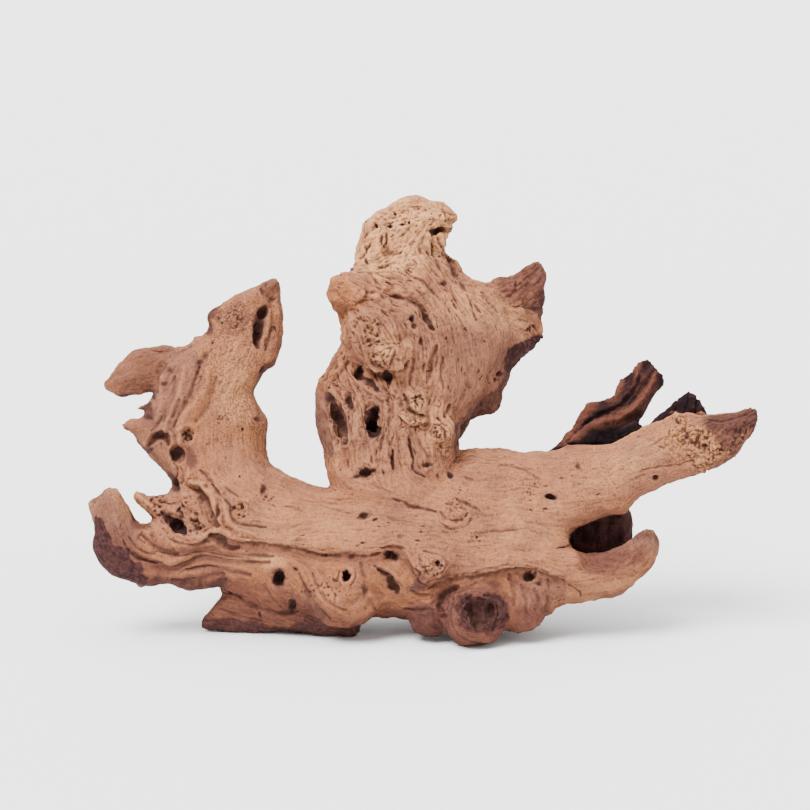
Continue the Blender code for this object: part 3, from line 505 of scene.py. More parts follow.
def tint(field, line, half, amount):
    """Raises a field along a line of stretches: a bell curve across it, amount high and half wide."""
    at = near(line, 3 * half + 1)
    far, share = beside(rounded(line), at)
    width = tapered(half, share) * (1 + 0.5 * noise(p[at], 5, 26))
    field[at] = np.maximum(field[at], amount * np.exp(-((far / width) ** 2)) * front[at])


def pits(u, v, radius, count, size, deep, seed, dark=0.8):
    """Many small pits strewn about a spot: their places and sizes are random, thicker towards the middle."""
    random = np.random.default_rng(seed)
    away = radius * np.sqrt(random.random(count)) * (0.5 + 0.5 * random.random(count))
    angle = random.random(count) * 2 * np.pi
    for x, y, scale, shape, lean in zip(
        u + away * np.cos(angle),
        v + away * np.sin(angle),
        0.6 + 0.8 * random.random(count),
        0.8 + 0.7 * random.random(count),
        random.random(count) * 180,
    ):
        hole(x, y, size * scale, size * scale * shape, deep * scale, dark * (0.5 + 0.3 * scale), lean)


def sponge(u, v, wide, tall, size, deep, seed, dark=0.6):
    """Wood eaten to a sponge within an oval: pits as large as size wherever two noises add up to much."""
    at, far = oval(u, v, wide, tall, 0, 1.4)
    within = (1 - soft(far + 0.25 * noise(p[at], 4, seed), 0.5, 1.2)) * front[at]
    eaten = noise(p[at], size, seed + 1) + 0.6 * noise(p[at], 0.55 * size, seed + 2)
    lift[at] += within * deep * (0.3 * eaten - soft(eaten, 0.1, 0.75))
    # painted shade in the pits
    hollow[at] = np.maximum(hollow[at], within * dark * soft(eaten, 0.15, 0.8))


def swell(u, v, wide, tall, height, lean=0):
    """A soft lump of the form: a bell over an oval. A height below 0 makes a dip."""
    at, far = oval(u, v, wide, tall, lean, 2.2)
    lift[at] += height * front[at] * np.exp(-(far**2))


def area(outline, blur=3.0, ragged=2.0, size=5.0):
    """1 inside a closed outline on the board and 0 outside, with a ragged border as wide as blur."""
    at = near(outline, blur + ragged)
    corners = list(outline) + [outline[0]]
    far, _ = beside(corners, at)
    x, y = q[at].T
    inside = np.zeros(len(at), bool)
    for (x1, y1), (x2, y2) in zip(corners[:-1], corners[1:]):
        if y1 != y2:
            inside ^= ((y1 > y) != (y2 > y)) & (x < x1 + (y - y1) * (x2 - x1) / (y2 - y1))
    depth = np.where(inside, far, -far) + ragged * (noise(p[at], size, 23) + 0.5 * noise(p[at], size / 3, 24))
    result = np.zeros(len(p))
    result[at] = soft(depth, -blur / 2, blur / 2) * front[at]
    return result


def patch(field, outline, amount=1.0, *border):
    """Raises a field to amount inside an outline, whose border's blur, raggedness and size may follow."""
    np.maximum(field, amount * area(outline, *border), out=field)


BRANCH = [(-165, 120), (-160, 150), (-130, 190), (-118, 206), (-88, 222), (-84, 190), (-94, 150),
          (-92, 112), (-140, 100)]
SANDED = [(-140, 165), (-128, 200), (-90, 222), (-84, 190), (-96, 150), (-94, 120), (-125, 120)]
FOLDED = [(-170, 112), (-166, 150), (-136, 182), (-128, 160), (-134, 130), (-138, 104)]
pitted *= 1 - 0.8 * area(BRANCH, 12)
rough *= 1 - 0.55 * area(FOLDED, 9, 3)
rough *= 1 - 0.35 * area(SANDED, 9, 3)
# lumps of the tip, the paddle's end and the edges
for row in (
    (-92.5, 214.5, 4.5, 4.5, 1.2),
    (-90.5, 217.5, 3.6, 3.2, 2.4),
    (-110, 209, 6, 4, 1.4),
    (-96, 215, 3, 3, 1.6),
    (-101, 211, 7, 5, 1.4),
    (-91, 168, 3, 4, 1.6),
    (-99, 154, 3, 6, 1.2),
    (-184, 167, 5, 5, 1.6),
    (-88, 212, 3, 4, 1.6),
    (-137, 183, 3, 2.5, 2.5),
    (-126, 198, 4, 6, 2.6),
):
    swell(*row)
# the eye and the slit in the tip, the ringed eye, sockets and borer holes
for row in (
    (-96.3, 199, 3.2, 3.8, 1.8, 0.42, -30),
    (-99.8, 186, 1.9, 7, 2.6, 0.8, -4),
    (-94.5, 214.5, 1.5, 0.8, 0.7, 0.4, 30),
    (-91.5, 206.5, 2.4, 1.6, 0.8, 0.4),
    (-134, 168.5, 2.4, 2.8, 1.4, 0.62, -20),
    (-130.5, 172.5, 1.8, 2.6, 0.8, 0.4, -20),
    (-152.3, 164, 1.6, 1.5, 1, 0.55),
    (-155, 156, 2.2, 1.4, 1, 0.65, 10),
    (-147.8, 114.5, 4, 4.8, 1.8, 0.62, 0, 0.3),
    (-149, 96, 2, 4, 2.5, 1, 15),
    (-126, 180.5, 1, 1.1, 0.9, 0.7),
    (-122.5, 195, 0.8, 1.2, 0.8, 0.7),
    (-108.8, 128.8, 1, 1, 1, 0.8),
    (-99.7, 135, 2.2, 2, 0.9, 0.45),
    (-122, 156, 1.8, 1.1, 0.7, 0.35, 30),
    (-97, 164.5, 1.6, 3, 1.8, 0.8, -35),
    (-141, 126, 2.4, 3, 0.8, 0.25, 10, 0.3),
):
    hole(*row)
# pits strewn in the ringed eye and over the sanded face
for row in (
    (-141, 126, 4.2, 26, 0.6, 0.8, 31, 0.9),
    (-114, 193, 8.5, 60, 0.45, 0.6, 32, 0.9),
    (-112, 202, 5.5, 22, 0.4, 0.5, 33),
    (-120, 135, 4, 16, 0.5, 0.6, 34, 0.7),
    (-102, 134, 4, 8, 0.4, 0.5, 35, 0.6),
):
    pits(*row)
# the sponge in the socket at the foot
sponge(-147.8, 114.5, 4.5, 5, 1.5, 1.4, 89, 0.8)
# the slit's banks, the ring round the eye, and the crook of the splinter
for row in (
    ([(-94.5, 201.5), (-97.5, 197), (-100, 191.5), (-100, 181)], 3, 1.4, 0.45),
    ([(-95.5, 202), (-98.5, 195), (-100, 186), (-99.8, 178)], 2.4, 2, 0.55),
    ([(-92, 200), (-93.5, 192), (-94, 184)], 2, -1.2, 0),
    ([(-103, 200), (-104, 192), (-103, 182)], 1.6, -0.8, 0),
    ([(-91, 190), (-93, 183), (-95, 176)], 1.6, 1.2, 0.5),
    ([(-97.5, 212), (-95.5, 208.5), (-89, 207.5)], 1.5, 1.4, 0.4),
    ([(-165, 119.5), (-162, 124), (-157.5, 126.5), (-153.5, 123.5), (-153, 119.5)], 1.9, 2, 0.45),
    ([(-166, 123), (-161, 128.5), (-155, 129.5), (-150.5, 125)], 1.3, -1.2, 0),
    ([(-146.5, 128), (-143, 132), (-138, 131), (-136, 125), (-139, 120), (-144, 120)], 1.2, -1, 0),
):
    furrow(*row)
# the wavy ridges and grooves down the left side
for line, half, deep, dark in (
    ([(-134, 166), (-137, 157), (-139.5, 148), (-146, 138), (-149.5, 130)], 1.3, 1.6, 0.25),
    ([(-129, 163), (-130, 152), (-136, 144), (-143, 137), (-147, 130), (-146, 122)], 3.4, -2.2, 0),
    ([(-133, 160), (-136, 150), (-141, 143), (-146, 136)], 1.2, 0.8, 0.15),
    ([(-143, 165), (-144, 155), (-149, 145), (-153, 136), (-155, 128)], 2.6, -1.6, 0),
    ([(-149, 160), (-149, 150), (-152, 142), (-156, 134)], 2.0, 1.1, 0.12),
    ([(-156, 160), (-156, 150), (-158, 141), (-160, 134)], 2.4, -1.4, 0),
    ([(-146, 146), (-147.5, 141), (-149.5, 136)], 2.0, 1.2, 0.35),
    ([(-124, 160), (-126, 148), (-131, 139), (-136, 134)], 2.2, 1.0, 0.1),
    ([(-157, 137), (-160, 131), (-163, 128)], 0.9, 0.8, 0.5),
    ([(-159, 152), (-161, 160), (-156, 167.5), (-149, 173), (-140, 179)], 1.8, 1.3, 0.3),
    ([(-146, 96), (-143.5, 101), (-146, 107)], 1.0, 1.0, 0.3),
    ([(-149, 100), (-147, 104.5), (-150, 109)], 1.0, 1.0, 0.3),
    ([(-143, 97), (-140.5, 103), (-142, 108)], 1.2, -0.9, 0),
    ([(-134, 104.5), (-129, 100), (-126, 95.5)], 1.4, 1.2, 0.45),
):
    furrow(line, half, deep, dark)
# dark stains in the slit and round the sockets
for row in (
    ([(-95, 203), (-98, 196), (-100, 188), (-99.5, 178)], 3.8, 0.85),
    ([(-136, 166), (-131, 173)], 3.2, 0.5),
    ([(-155, 163), (-150, 165)], 3.2, 0.35),
    ([(-158, 156), (-152, 156)], 2.6, 0.35),
    ([(-165, 120), (-161, 124), (-157, 125), (-154, 122)], 2.6, 0.9),
):
    tint(bark, *row)
# darker, duller wood in the wavy grooves
for row in (
    ([(-141, 120), (-136, 118), (-131, 116)], 3.5, 0.5),
    ([(-134, 166), (-138, 155), (-142, 145), (-149, 136), (-152, 128)], 3, 0.8),
    ([(-150, 160), (-151, 148), (-157, 136)], 3, 0.9),
):
    tint(dusky_and_painted_shade, *row)
# orange on the wavy ridges and the eye's ring
for row in (
    ([(-146, 128), (-139, 131), (-136, 124)], 3, 0.9),
    ([(-129, 160), (-135, 147), (-144, 135), (-147, 126)], 3.4, 0.9),
):
    tint(tawny, *row)
# dark bark left under the paddle and the spike, in the crooks and along the tip's back
for row in (
    ([(-186, 147), (-186, 149.5), (-166, 151.5), (-160, 153), (-160, 147)], 0.9, 2, 0.6),
    ([(-176, 139), (-165, 145.5), (-163, 146), (-162, 134), (-168, 135), (-170, 139)], 0.9, 1.5, 0.5),
    ([(-172, 124), (-168, 119.5), (-162, 118), (-163, 114), (-172, 114)], 0.9, 2, 0.5),
    ([(-153, 103), (-149.5, 100), (-146, 92), (-150, 90), (-156, 100)], 0.8, 2, 0.5),
    ([(-89, 219), (-88, 213), (-86, 210), (-82, 214), (-84, 222)], 0.8, 2, 0.5),
    ([(-133, 196), (-124, 205.5), (-119, 207), (-122, 200), (-126, 195), (-126, 186),
      (-131, 186)], 0.9, 3, 1.5),
    ([(-100, 160), (-95, 166), (-90, 172), (-88, 166), (-94, 158)], 0.8, 3, 1),
):
    patch(bark, *row)
# red ends of the tip, the paddle, the spike and the foot
for row in (
    ([(-99, 211), (-97, 219), (-87, 222), (-85, 209)], 0.7),
    ([(-143, 119), (-138, 118), (-135.5, 110), (-139, 104), (-143, 108)], 1, 2.5, 0.8),
    ([(-197, 156), (-180, 172), (-160, 181), (-146, 178), (-158, 168), (-160, 150),
      (-190, 145)], 0.65, 6),
    ([(-185, 132), (-160, 140), (-158, 122), (-175, 124)], 0.6, 6),
):
    patch(ruddy_and_painted_shading, *row)
# duller wood on the left side and over the trunk
for row in (
    ([(-168, 150), (-150, 172), (-136, 182), (-134, 160), (-142, 140), (-146, 120),
      (-165, 118)], 0.65, 9, 3),
    ([(-124, 104), (-124, 122), (-100, 122), (-98, 104)], 0.3, 12, 4),
):
    patch(dusky_and_painted_shade, *row)
patch(tawny, BRANCH, 0.55, 20, 6, 14)
patch(
    bleached_and_highlight, [(-124, 162), (-116, 182), (-104, 176), (-104, 148), (-112, 132), (-124, 140)], 0.4, 14, 4
)
# dark specks on the sanded face
for row in (
    (SANDED, 1, 16, 5, 9),
    ([(-124, 184), (-124, 200), (-112, 208), (-103, 198), (-106, 184)], 2.2, 7, 3),
):
    patch(specked, *row)


def relief():
    """How far the relief moves each point out: what is carved, plus the fibres' ridges, bundles and torn
    places, less cracks, gouges and small pits. The rougher the wood, the stronger they all are."""
    ridges = rough * (0.14 * middle + 0.45 * broad - 0.25 * soft(-middle, 1.1, 2.6))
    ridges += (0.06 + 0.09 * rough) * fine
    bundles = rough**2 * (0.55 - 1.1 * np.exp(-((rope / 0.45) ** 2)))
    bundles *= 0.5 + 0.5 * soft(noise(p, 18, 49), -0.3, 0.4)
    torn = rough**2 * (1.6 * lumpy - 1.4 * soft(gouge, 1.5, 2.5)) + (0.15 + 0.25 * rough) * crust
    holes = 0.8 * soft(fleck, 2.6 - pitted, 3.4 - pitted) + (0.1 + 0.5 * rough) * crack - bundles
    return lift + (0.15 + 0.7 * rough**2) * fold + (ridges + torn) * (1 - 0.4 * bark) - holes


def skin_now():
    """The skin with its relief: its places in metres, and its normals there, from the triangles about each
    point."""
    places = off_board(p + n * relief()[:, None])
    places[:, 2] = np.maximum(places[:, 2], 0)
    a, b, c = (places[triangles[:, k]] for k in range(3))
    across = np.cross(b - a, c - a)
    normals = np.zeros((len(places), 3))
    for axis in range(3):
        for k in range(3):
            normals[:, axis] += np.bincount(triangles[:, k], across[:, axis], len(places))
    return places, normals / (np.linalg.norm(normals, axis=1)[:, None] + 1e-20)


LID_DEPTH = 0.6  # how far under the skin the lid over a cut lies
CONCAVE = 0.1  # the share of a lid that may lie out of its middle's sight
left = np.ones(len(triangles), bool)  # the triangles that no piece has taken yet
middles = p[triangles].mean(axis=1)


def within(outline, depths):
    """Which triangles have their middles in a convex outline on the board, between two depths."""
    inside = (middles[:, 2] > depths[0]) & (middles[:, 2] < depths[1])
    corners = np.array(outline, float)
    following = np.roll(corners, -1, axis=0)
    turning = np.sum(corners[:, 0] * following[:, 1] - following[:, 0] * corners[:, 1])
    for (x1, y1), (x2, y2) in zip(corners, following):
        side = (x2 - x1) * (middles[:, 1] - y1) - (y2 - y1) * (middles[:, 0] - x1)
        inside &= side * turning > 0
    return inside


def stained():
    """The stains of the whole skin by name. The second is painted shade where a point lies deeper than the
    relaxed relief about it and painted light where it stands higher, the third does so over a wider reach
    and in the hollows of the bare form, and the fourth is painted shade in a hole, a speck along the grain
    or a crack."""
    height = relief()
    dots = 0.3 * soft(fleck, 1.9 - 0.4 * pitted, 3.0 - 0.6 * pitted)
    dots += 0.35 * soft(fleck, 2.6 - pitted, 3.4 - pitted)
    torn = rough**2 * 0.4 * soft(gouge, 1.5, 2.5) + (0.15 + 0.35 * rough) * crack
    return {
        "stripe": 0.65 * fine + 0.3 * middle + 0.25 * broad * rough,
        # painted shade in small hollows of the relief, and painted light on its ridges
        "cavity_shading": (relaxed(height, 2) - height) / 0.14 + (relaxed(height, 12) - height) / 0.6,
        # painted shade over wide hollows of the form, and painted light on its wide ridges
        "form_shading": (relaxed(height, 60) - height) / 0.8 + sunk / 0.6,
        # painted shade in holes, pits and cracks
        "hollow": np.maximum(hollow, np.maximum(dots, torn)),
        "tawny": tawny,
        "ruddy_and_painted_shading": ruddy_and_painted_shading,
        "dusky_and_painted_shade": dusky_and_painted_shade,
        "bark": bark,
        "crumb": crumb,
        "specked": specked,
        "bleached_and_highlight": bleached_and_highlight,
    }


def fans_out(lid):
    """Whether nearly all of a lid can be seen from its middle, so that triangles from there can fill it."""
    middle = lid.calc_center_median()
    lid.normal_update()
    turns = [
        (loop.vert.co - middle).cross(loop.link_loop_next.vert.co - middle).dot(lid.normal)
        for loop in lid.loops
    ]
    return -sum(min(turn, 0) for turn in turns) < CONCAVE * sum(turns)


def lidded(mesh, places):
    """Puts lids over a mesh's open rims and cuts all its faces into triangles. The mesh may still be on the
    bare form: the places that its points will have give the places of the lids' new middles, which are
    returned."""
    bm = bmesh.new()
    bm.from_mesh(mesh)
    rims = [edge for edge in bm.edges if edge.is_boundary]
    lids = bmesh.ops.holes_fill(bm, edges=rims, sides=0)["faces"]
    bmesh.ops.poke(bm, faces=[lid for lid in lids if fans_out(lid)])
    bmesh.ops.triangulate(bm, faces=[face for face in bm.faces if len(face.verts) > 3])
    for face in bm.faces:
        face.smooth = True
    bm.verts.index_update()
    hubs = [vert for vert in bm.verts if vert.index >= len(places)]
    hubs = [places[[edge.other_vert(hub).index for edge in hub.link_edges]].mean(axis=0) for hub in hubs]
    bm.to_mesh(mesh)
    bm.free()
    return np.reshape(hubs, (-1, 3))


def part_off(name, inside, label=None):
    """Cuts one limb from the skin: the triangles inside that are left. They become a closed mesh of their
    own that keeps the whole skin's normals, with walls that go in from each cut's rim, a lid over their
    inner rim, and one attribute for each stain."""
    inside = inside & left
    left[inside] = False
    kept, corner = np.unique(triangles[inside], return_inverse=True)
    faces = corner.reshape(-1, 3)
    sides = faces[:, [0, 1, 1, 2, 2, 0]].reshape(-1, 2).astype(np.int64)
    numbers = sides.min(axis=1) * len(kept) + sides.max(axis=1)
    _, first, times = np.unique(numbers, return_index=True, return_counts=True)
    rim = sides[first[times == 1]]
    round_rim, inner = np.unique(rim, return_inverse=True)
    inner = inner.reshape(-1, 2) + len(kept)
    walls = np.stack([rim[:, 1], rim[:, 0], inner[:, 0], inner[:, 1]], axis=1)
    outside = np.arange(len(kept) + len(round_rim)) < len(kept)
    kept = np.concatenate([kept, kept[round_rim]])
    places, normals = (values[kept] for values in skin_now())
    places[~outside] -= LID_DEPTH * MM * normals[~outside]
    normals[~outside] = 0  # which leaves the walls' and lids' own normals there
    mesh = bpy.data.meshes.new(label or name + "_wood")
    mesh.from_pydata(off_board(p[kept]), [], faces.tolist() + walls.tolist())
    for stain, values in stained().items():
        attribute = mesh.attributes.new(stain, "FLOAT", "POINT")
        attribute.data.foreach_set("value", values[kept].astype(np.float32))
    hubs = lidded(mesh, places)
    places = np.concatenate([places, hubs])
    mesh.vertices.foreach_set("co", places.astype(np.float32).ravel())
    mesh.update()
    mesh.normals_split_custom_set_from_vertices(np.concatenate([normals, np.zeros(hubs.shape)]))
    piece = bpy.data.objects.new(label or name + "_wood", mesh)
    bpy.context.scene.collection.objects.link(piece)
    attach(piece, "root")
    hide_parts(name)
    return piece


def node(tree, kind, inputs, **settings):
    """A new node: its inputs are numbers, colours or other nodes' outputs."""
    made = tree.nodes.new(kind)
    for name, value in settings.items():
        setattr(made, name, value)
    for name, value in inputs.items():
        if isinstance(value, bpy.types.NodeSocket):
            tree.links.new(value, made.inputs[name])
        else:
            made.inputs[name].default_value = value
    return made


def weathered(name, pale, shade, amber, red, dull, dark, brown, black, straw, cream):
    """Dry weathered wood: streaks from shade to pale along the grain under a grit of fine grains, darker in
    the relief's valleys and lighter on its ridges as painted shade and light. They drift towards amber and
    dull, are stained amber, dull and red, partly as painted shade on undersides and beside creases, bleached
    to cream, partly as a painted highlight where the relief is high, and turned to straw where the wood
    crumbles. Over them lie dark bark, painted shade in the form's hollows and in the relief's valleys, brown
    specks, and brown and then black painted shade in the holes."""
    material = bpy.data.materials.new(name)
    material.use_nodes = True
    tree = material.node_tree
    surface = tree.nodes["Principled BSDF"]
    place = node(tree, "ShaderNodeTexCoord", {}).outputs["Object"]

    def stain(attribute):
        return node(tree, "ShaderNodeAttribute", {}, attribute_name=attribute).outputs["Fac"]

    def grain(scale, detail):
        inputs = {"Vector": place, "Scale": scale, "Detail": detail}
        return node(tree, "ShaderNodeTexNoise", inputs).outputs["Fac"]

    def mixed(share, first, second):
        mix = node(tree, "ShaderNodeMix", {}, data_type="RGBA")
        for socket, value in ((mix.inputs[0], share), (mix.inputs[6], first), (mix.inputs[7], second)):
            if isinstance(value, bpy.types.NodeSocket):
                tree.links.new(value, socket)
            else:
                socket.default_value = (*value, 1)
        return mix.outputs[2]

    def ranged(value, low, high, to_low=0.0, to_high=1.0):
        inputs = {"Value": value, "From Min": low, "From Max": high, "To Min": to_low, "To Max": to_high}
        return node(tree, "ShaderNodeMapRange", inputs).outputs["Result"]

    def worked(operation, first, second):
        made = node(tree, "ShaderNodeMath", {}, operation=operation)
        for socket, value in zip(made.inputs, (first, second)):
            if isinstance(value, bpy.types.NodeSocket):
                tree.links.new(value, socket)
            else:
                socket.default_value = value
        return made.outputs["Value"]

    def darker(colour, share):
        return [part * share for part in colour]

    grit = grain(1250.0, 2.0)
    mottle = grain(430.0, 3.0)
    drift = grain(120.0, 3.0)
    blotch = grain(38.0, 3.0)
    cavity_shading = stain("cavity_shading")
    tone = worked("ADD", ranged(stain("stripe"), -2.4, 2.0, 0.4, 0.75), ranged(grit, 0.3, 0.7, -0.34, 0.34))
    tone = worked("ADD", tone, ranged(mottle, 0.3, 0.7, -0.2, 0.2))
    # painted shade in the relief's small valleys, and painted light on its ridges
    tone = worked("ADD", tone, ranged(cavity_shading, -1.6, 1.6, 0.25, -0.25))
    tone = worked("ADD", tone, ranged(blotch, 0.3, 0.7, -0.1, 0.2))
    wood = mixed(tone, shade, pale)
    wood = mixed(ranged(drift, 0.5, 0.7, 0.0, 0.4), wood, mixed(tone, darker(amber, 0.6), amber))
    wood = mixed(ranged(blotch, 0.52, 0.36, 0.0, 0.4), wood, mixed(tone, darker(dull, 0.6), dull))
    wood = mixed(stain("tawny"), wood, mixed(tone, darker(amber, 0.6), amber))
    # dull wood, and painted shade beside creases
    wood = mixed(stain("dusky_and_painted_shade"), wood, mixed(tone, darker(dull, 0.55), dull))
    wood = mixed(stain("crumb"), wood, mixed(tone, darker(straw, 0.45), straw))
    # cream: bleached wood, and a painted highlight on the form's ridges
    cream_and_highlight = worked("ADD", stain("bleached_and_highlight"), ranged(stain("form_shading"), -0.6, -2.6, 0.0, 0.25))
    wood = mixed(cream_and_highlight, wood, mixed(tone, darker(cream, 0.55), cream))
    # red: the wood's red, and painted shade on the undersides
    redness_and_shading = worked("MULTIPLY", stain("ruddy_and_painted_shading"), ranged(drift, 0.3, 0.6, 0.7, 1.0))
    wood = mixed(redness_and_shading, wood, mixed(tone, darker(red, 0.5), red))
    # the bark's tone, with painted shade in the relief's valleys and painted light on its ridges
    crust = worked("ADD", ranged(mottle, 0.3, 0.7, -0.3, 0.9), ranged(cavity_shading, -1.2, 1.2, 0.4, -0.4))
    crust = worked("ADD", crust, ranged(drift, 0.35, 0.65, -0.2, 0.4))
    crust = worked("ADD", crust, ranged(stain("stripe"), -2.0, 2.0, -0.15, 0.15))
    wood = mixed(stain("bark"), wood, mixed(crust, darker(dark, 0.4), darker(dark, 1.2)))
    # painted shade in the form's wide hollows
    shaded = ranged(stain("form_shading"), 0.4, 2.6, 0.0, 0.5)
    wood = mixed(shaded, wood, mixed(tone, darker(dull, 0.4), darker(dull, 0.8)))
    # brown painted shade deep in the relief's valleys
    wood = mixed(ranged(cavity_shading, 1.2, 3.2, 0.0, 0.4), wood, brown)
    specks = worked("ADD", grain(850.0, 1.5), worked("MULTIPLY", stain("specked"), 0.11))
    wood = mixed(ranged(specks, 0.58, 0.76, 0.0, 0.65), wood, brown)
    # brown and then black painted shade in the holes, pits and cracks
    wood = mixed(ranged(stain("hollow"), 0.0, 0.6), wood, brown)
    deepest = worked("MULTIPLY", ranged(stain("hollow"), 0.55, 1.0), ranged(mottle, 0.36, 0.6, 0.35, 1.0))
    wood = mixed(deepest, wood, black)
    tree.links.new(wood, surface.inputs["Base Color"])
    tree.links.new(ranged(grit, 0.3, 0.7, 0.72, 0.95), surface.inputs["Roughness"])
    surface.inputs["Specular IOR Level"].default_value = 0.12
    height = worked("ADD", worked("MULTIPLY", grit, 0.6), worked("MULTIPLY", mottle, 0.9))
    bump = node(tree, "ShaderNodeBump", {"Height": height, "Strength": 0.9, "Distance": 0.0008})
    tree.links.new(bump.outputs["Normal"], surface.inputs["Normal"])
    return material


sandblasted = weathered(
    "sandblasted mopani",
    pale=(0.345, 0.140, 0.068),
    shade=(0.175, 0.066, 0.035),
    amber=(0.325, 0.119, 0.050),
    red=(0.140, 0.050, 0.033),
    dull=(0.190, 0.082, 0.056),
    dark=(0.058, 0.021, 0.020),
    brown=(0.060, 0.024, 0.018),
    black=(0.014, 0.006, 0.007),
    straw=(0.290, 0.115, 0.052),
    cream=(0.62, 0.29, 0.13),
)
ALL_DEPTHS = (-200, 200)
branch_outline = [(-178, 96.9), (-70, 103.6), (-78, 240), (-230, 240), (-230, 112)]
branch = part_off("left_branch", within(branch_outline, ALL_DEPTHS))
branch.data.materials.append(sandblasted)


# The left hook: the end of the root that curls up at the far left. The wood's layers show as bands along
# it, a little spike stands beside it, and dark bark is left on its outer side.

# the outline's lumps and dips
for row in (
    (-170, 89, 3.5, 3, 1.8),
    (-194, 89, 5, 5, -2.4),
    (-177, 84, 4, 8, 1.6),
    (-164, 37, 16, 5, 1.6),
):
    swell(*row)
# borer holes in the hollow beside the spike
for row in (
    (-152.5, 75.5, 3.2, 2.6, 2.5, 0.9, -35),
    (-147, 70.5, 4.8, 3.4, 3, 0.85, -35),
    (-147, 81.5, 0.9, 2.2, 1.6, 1, -35),
    (-144.5, 83.5, 0.8, 1.6, 1.2, 1, 20),
    (-157, 79, 0.8, 1.6, 1.2, 1, 10),
    (-163, 87, 1, 1.2, 0.8),
    (-172, 76, 1.6, 2.6, 1.5, 1, 20),
):
    hole(*row)
# pits strewn about them and along the bands
for row in (
    (-160, 84, 8, 14, 0.6, 0.7, 41),
    (-152, 62, 12, 16, 0.5, 0.5, 42, 0.5),
    (-137, 72, 5, 16, 0.9, 1, 44),
):
    pits(*row)
# wood eaten to a sponge in that hollow
for row in (
    (-139, 79, 11, 10, 3.2, 2.2, 43, 0.5),
    (-157, 84, 8, 5, 2.4, 1.4, 44, 0.45),
):
    sponge(*row)
LAYERED = [(-190, 70), (-170, 62), (-140, 60), (-110, 57), (-60, 54), (-60, 40), (-110, 36), (-170, 34)]
layered = area(LAYERED, 10, 3)
rough *= 1 - 0.7 * layered
pitted *= 1 - 0.7 * layered
bleached_and_highlight -= 0.2 * layered
# the red-brown layers of the wood, which run from the hook into the trunk
DARK_BANDS = [
    [(-176, 58), (-166, 50), (-158, 46.5), (-150, 45), (-145, 48), (-137, 52), (-129, 53), (-122, 51),
     (-110, 49.5), (-92, 50)],
    [(-168, 66), (-160, 58), (-152, 55.5), (-144, 55), (-137, 57), (-128, 57), (-120, 54),
     (-106, 53.5), (-90, 54)],
    [(-150, 39.5), (-142, 38.5), (-134, 40), (-126, 42.5), (-120, 42)],
    [(-141, 45), (-132, 47.5), (-124, 46), (-114, 43.5), (-104, 42)],
]
for band in DARK_BANDS:
    furrow(band, 2.2, 1.0, 0.1)
    tint(ruddy_and_painted_shading, band, 2.4, 0.9)
    tint(dusky_and_painted_shade, band, 3.0, 0.8)
# and the orange ones that stand out between them
PALE_BANDS = [
    [(-168, 44), (-158, 42), (-148, 41.5), (-141, 44), (-133, 45)],
    [(-170, 54), (-160, 50.5), (-152, 49.5), (-144, 52), (-137, 55), (-124, 54), (-112, 51.5), (-96, 52)],
    [(-150, 60), (-142, 60), (-133, 61), (-125, 60)],
]
for band in PALE_BANDS:
    furrow(band, 2.0, -1.0, 0)
    tint(tawny, band, 3.0, 1.0)
# the fine cracks between the layers
for line in (
    [(-164, 50.5), (-155, 47.5), (-149, 47), (-143, 50), (-136, 53.2), (-128, 53.8), (-121, 51.8)],
    [(-160, 56.5), (-151, 53.5), (-144, 53.5), (-137, 55.6), (-128, 55.6), (-118, 52.6), (-104, 51.8)],
    [(-147, 42.8), (-141, 46), (-133, 47.2), (-124, 45.5)],
):
    furrow(line, 0.6, 0.8, 0.4)
# the groove through the two large holes, and cracks along the curl
for row in (
    ([(-156, 78), (-150, 73), (-143, 67.5)], 2.8, 1.6, 0.8),
    ([(-179, 63), (-176, 56.5), (-170, 52), (-163, 50), (-157, 49.5)], 1, 1.4, 0.75),
    ([(-176, 66), (-172, 59), (-166, 55.5), (-161, 55)], 0.8, 0.9, 0.4),
    ([(-162, 66), (-158, 59), (-153, 55), (-148, 54)], 3.2, 1.6, 0.3),
    ([(-168, 68), (-171, 64), (-167, 61)], 0.8, 0.8, 0.35),
    ([(-152, 64), (-146, 61), (-139, 60), (-133, 61), (-128.5, 66), (-123, 66.5), (-117, 63),
      (-110, 60.5)], 1, 1.2, 0.5),
):
    furrow(*row)
tint(bark, [(-156, 77), (-150, 73), (-143, 68)], 3.2, 0.7)
# torn fibres in the hollow beside the spike
patch(rough, [(-165, 92), (-140, 96), (-126, 90), (-124, 66), (-140, 62), (-160, 70)], 0.9, 8, 3)
# the dark bark on the outer side, under the bands and in the crook
for row in (
    ([(-200, 73), (-195, 76.5), (-189, 75), (-186, 67), (-183, 60), (-177, 56), (-171, 49), (-166, 41),
      (-168, 33), (-202, 33)], 1, 1.5, 3),
    ([(-168, 38), (-160, 41), (-150, 39), (-141, 40), (-133, 37), (-128, 30), (-168, 30)], 0.8),
    ([(-176, 80), (-172, 82), (-171, 72), (-163, 72.5), (-162, 69), (-174, 70)], 0.7, 2, 0.5),
):
    patch(bark, *row)
patch(ruddy_and_painted_shading, [(-192, 76), (-184, 72), (-176, 62), (-160, 50), (-146, 42), (-172, 34), (-192, 54)], 0.8, 8)
patch(tawny, [(-165, 72), (-150, 60), (-141, 58), (-141, 34), (-172, 34), (-180, 48)], 0.7, 8)
patch(
    dusky_and_painted_shade, [(-200, 90), (-192, 98), (-184, 90), (-180, 74), (-170, 66), (-176, 56), (-202, 60)], 0.8, 8, 3
)
hook = part_off("left_hook", within([(-141, 10), (-141, 99.2), (-230, 93.7), (-230, 10)], ALL_DEPTHS))
hook.data.materials.append(sandblasted)


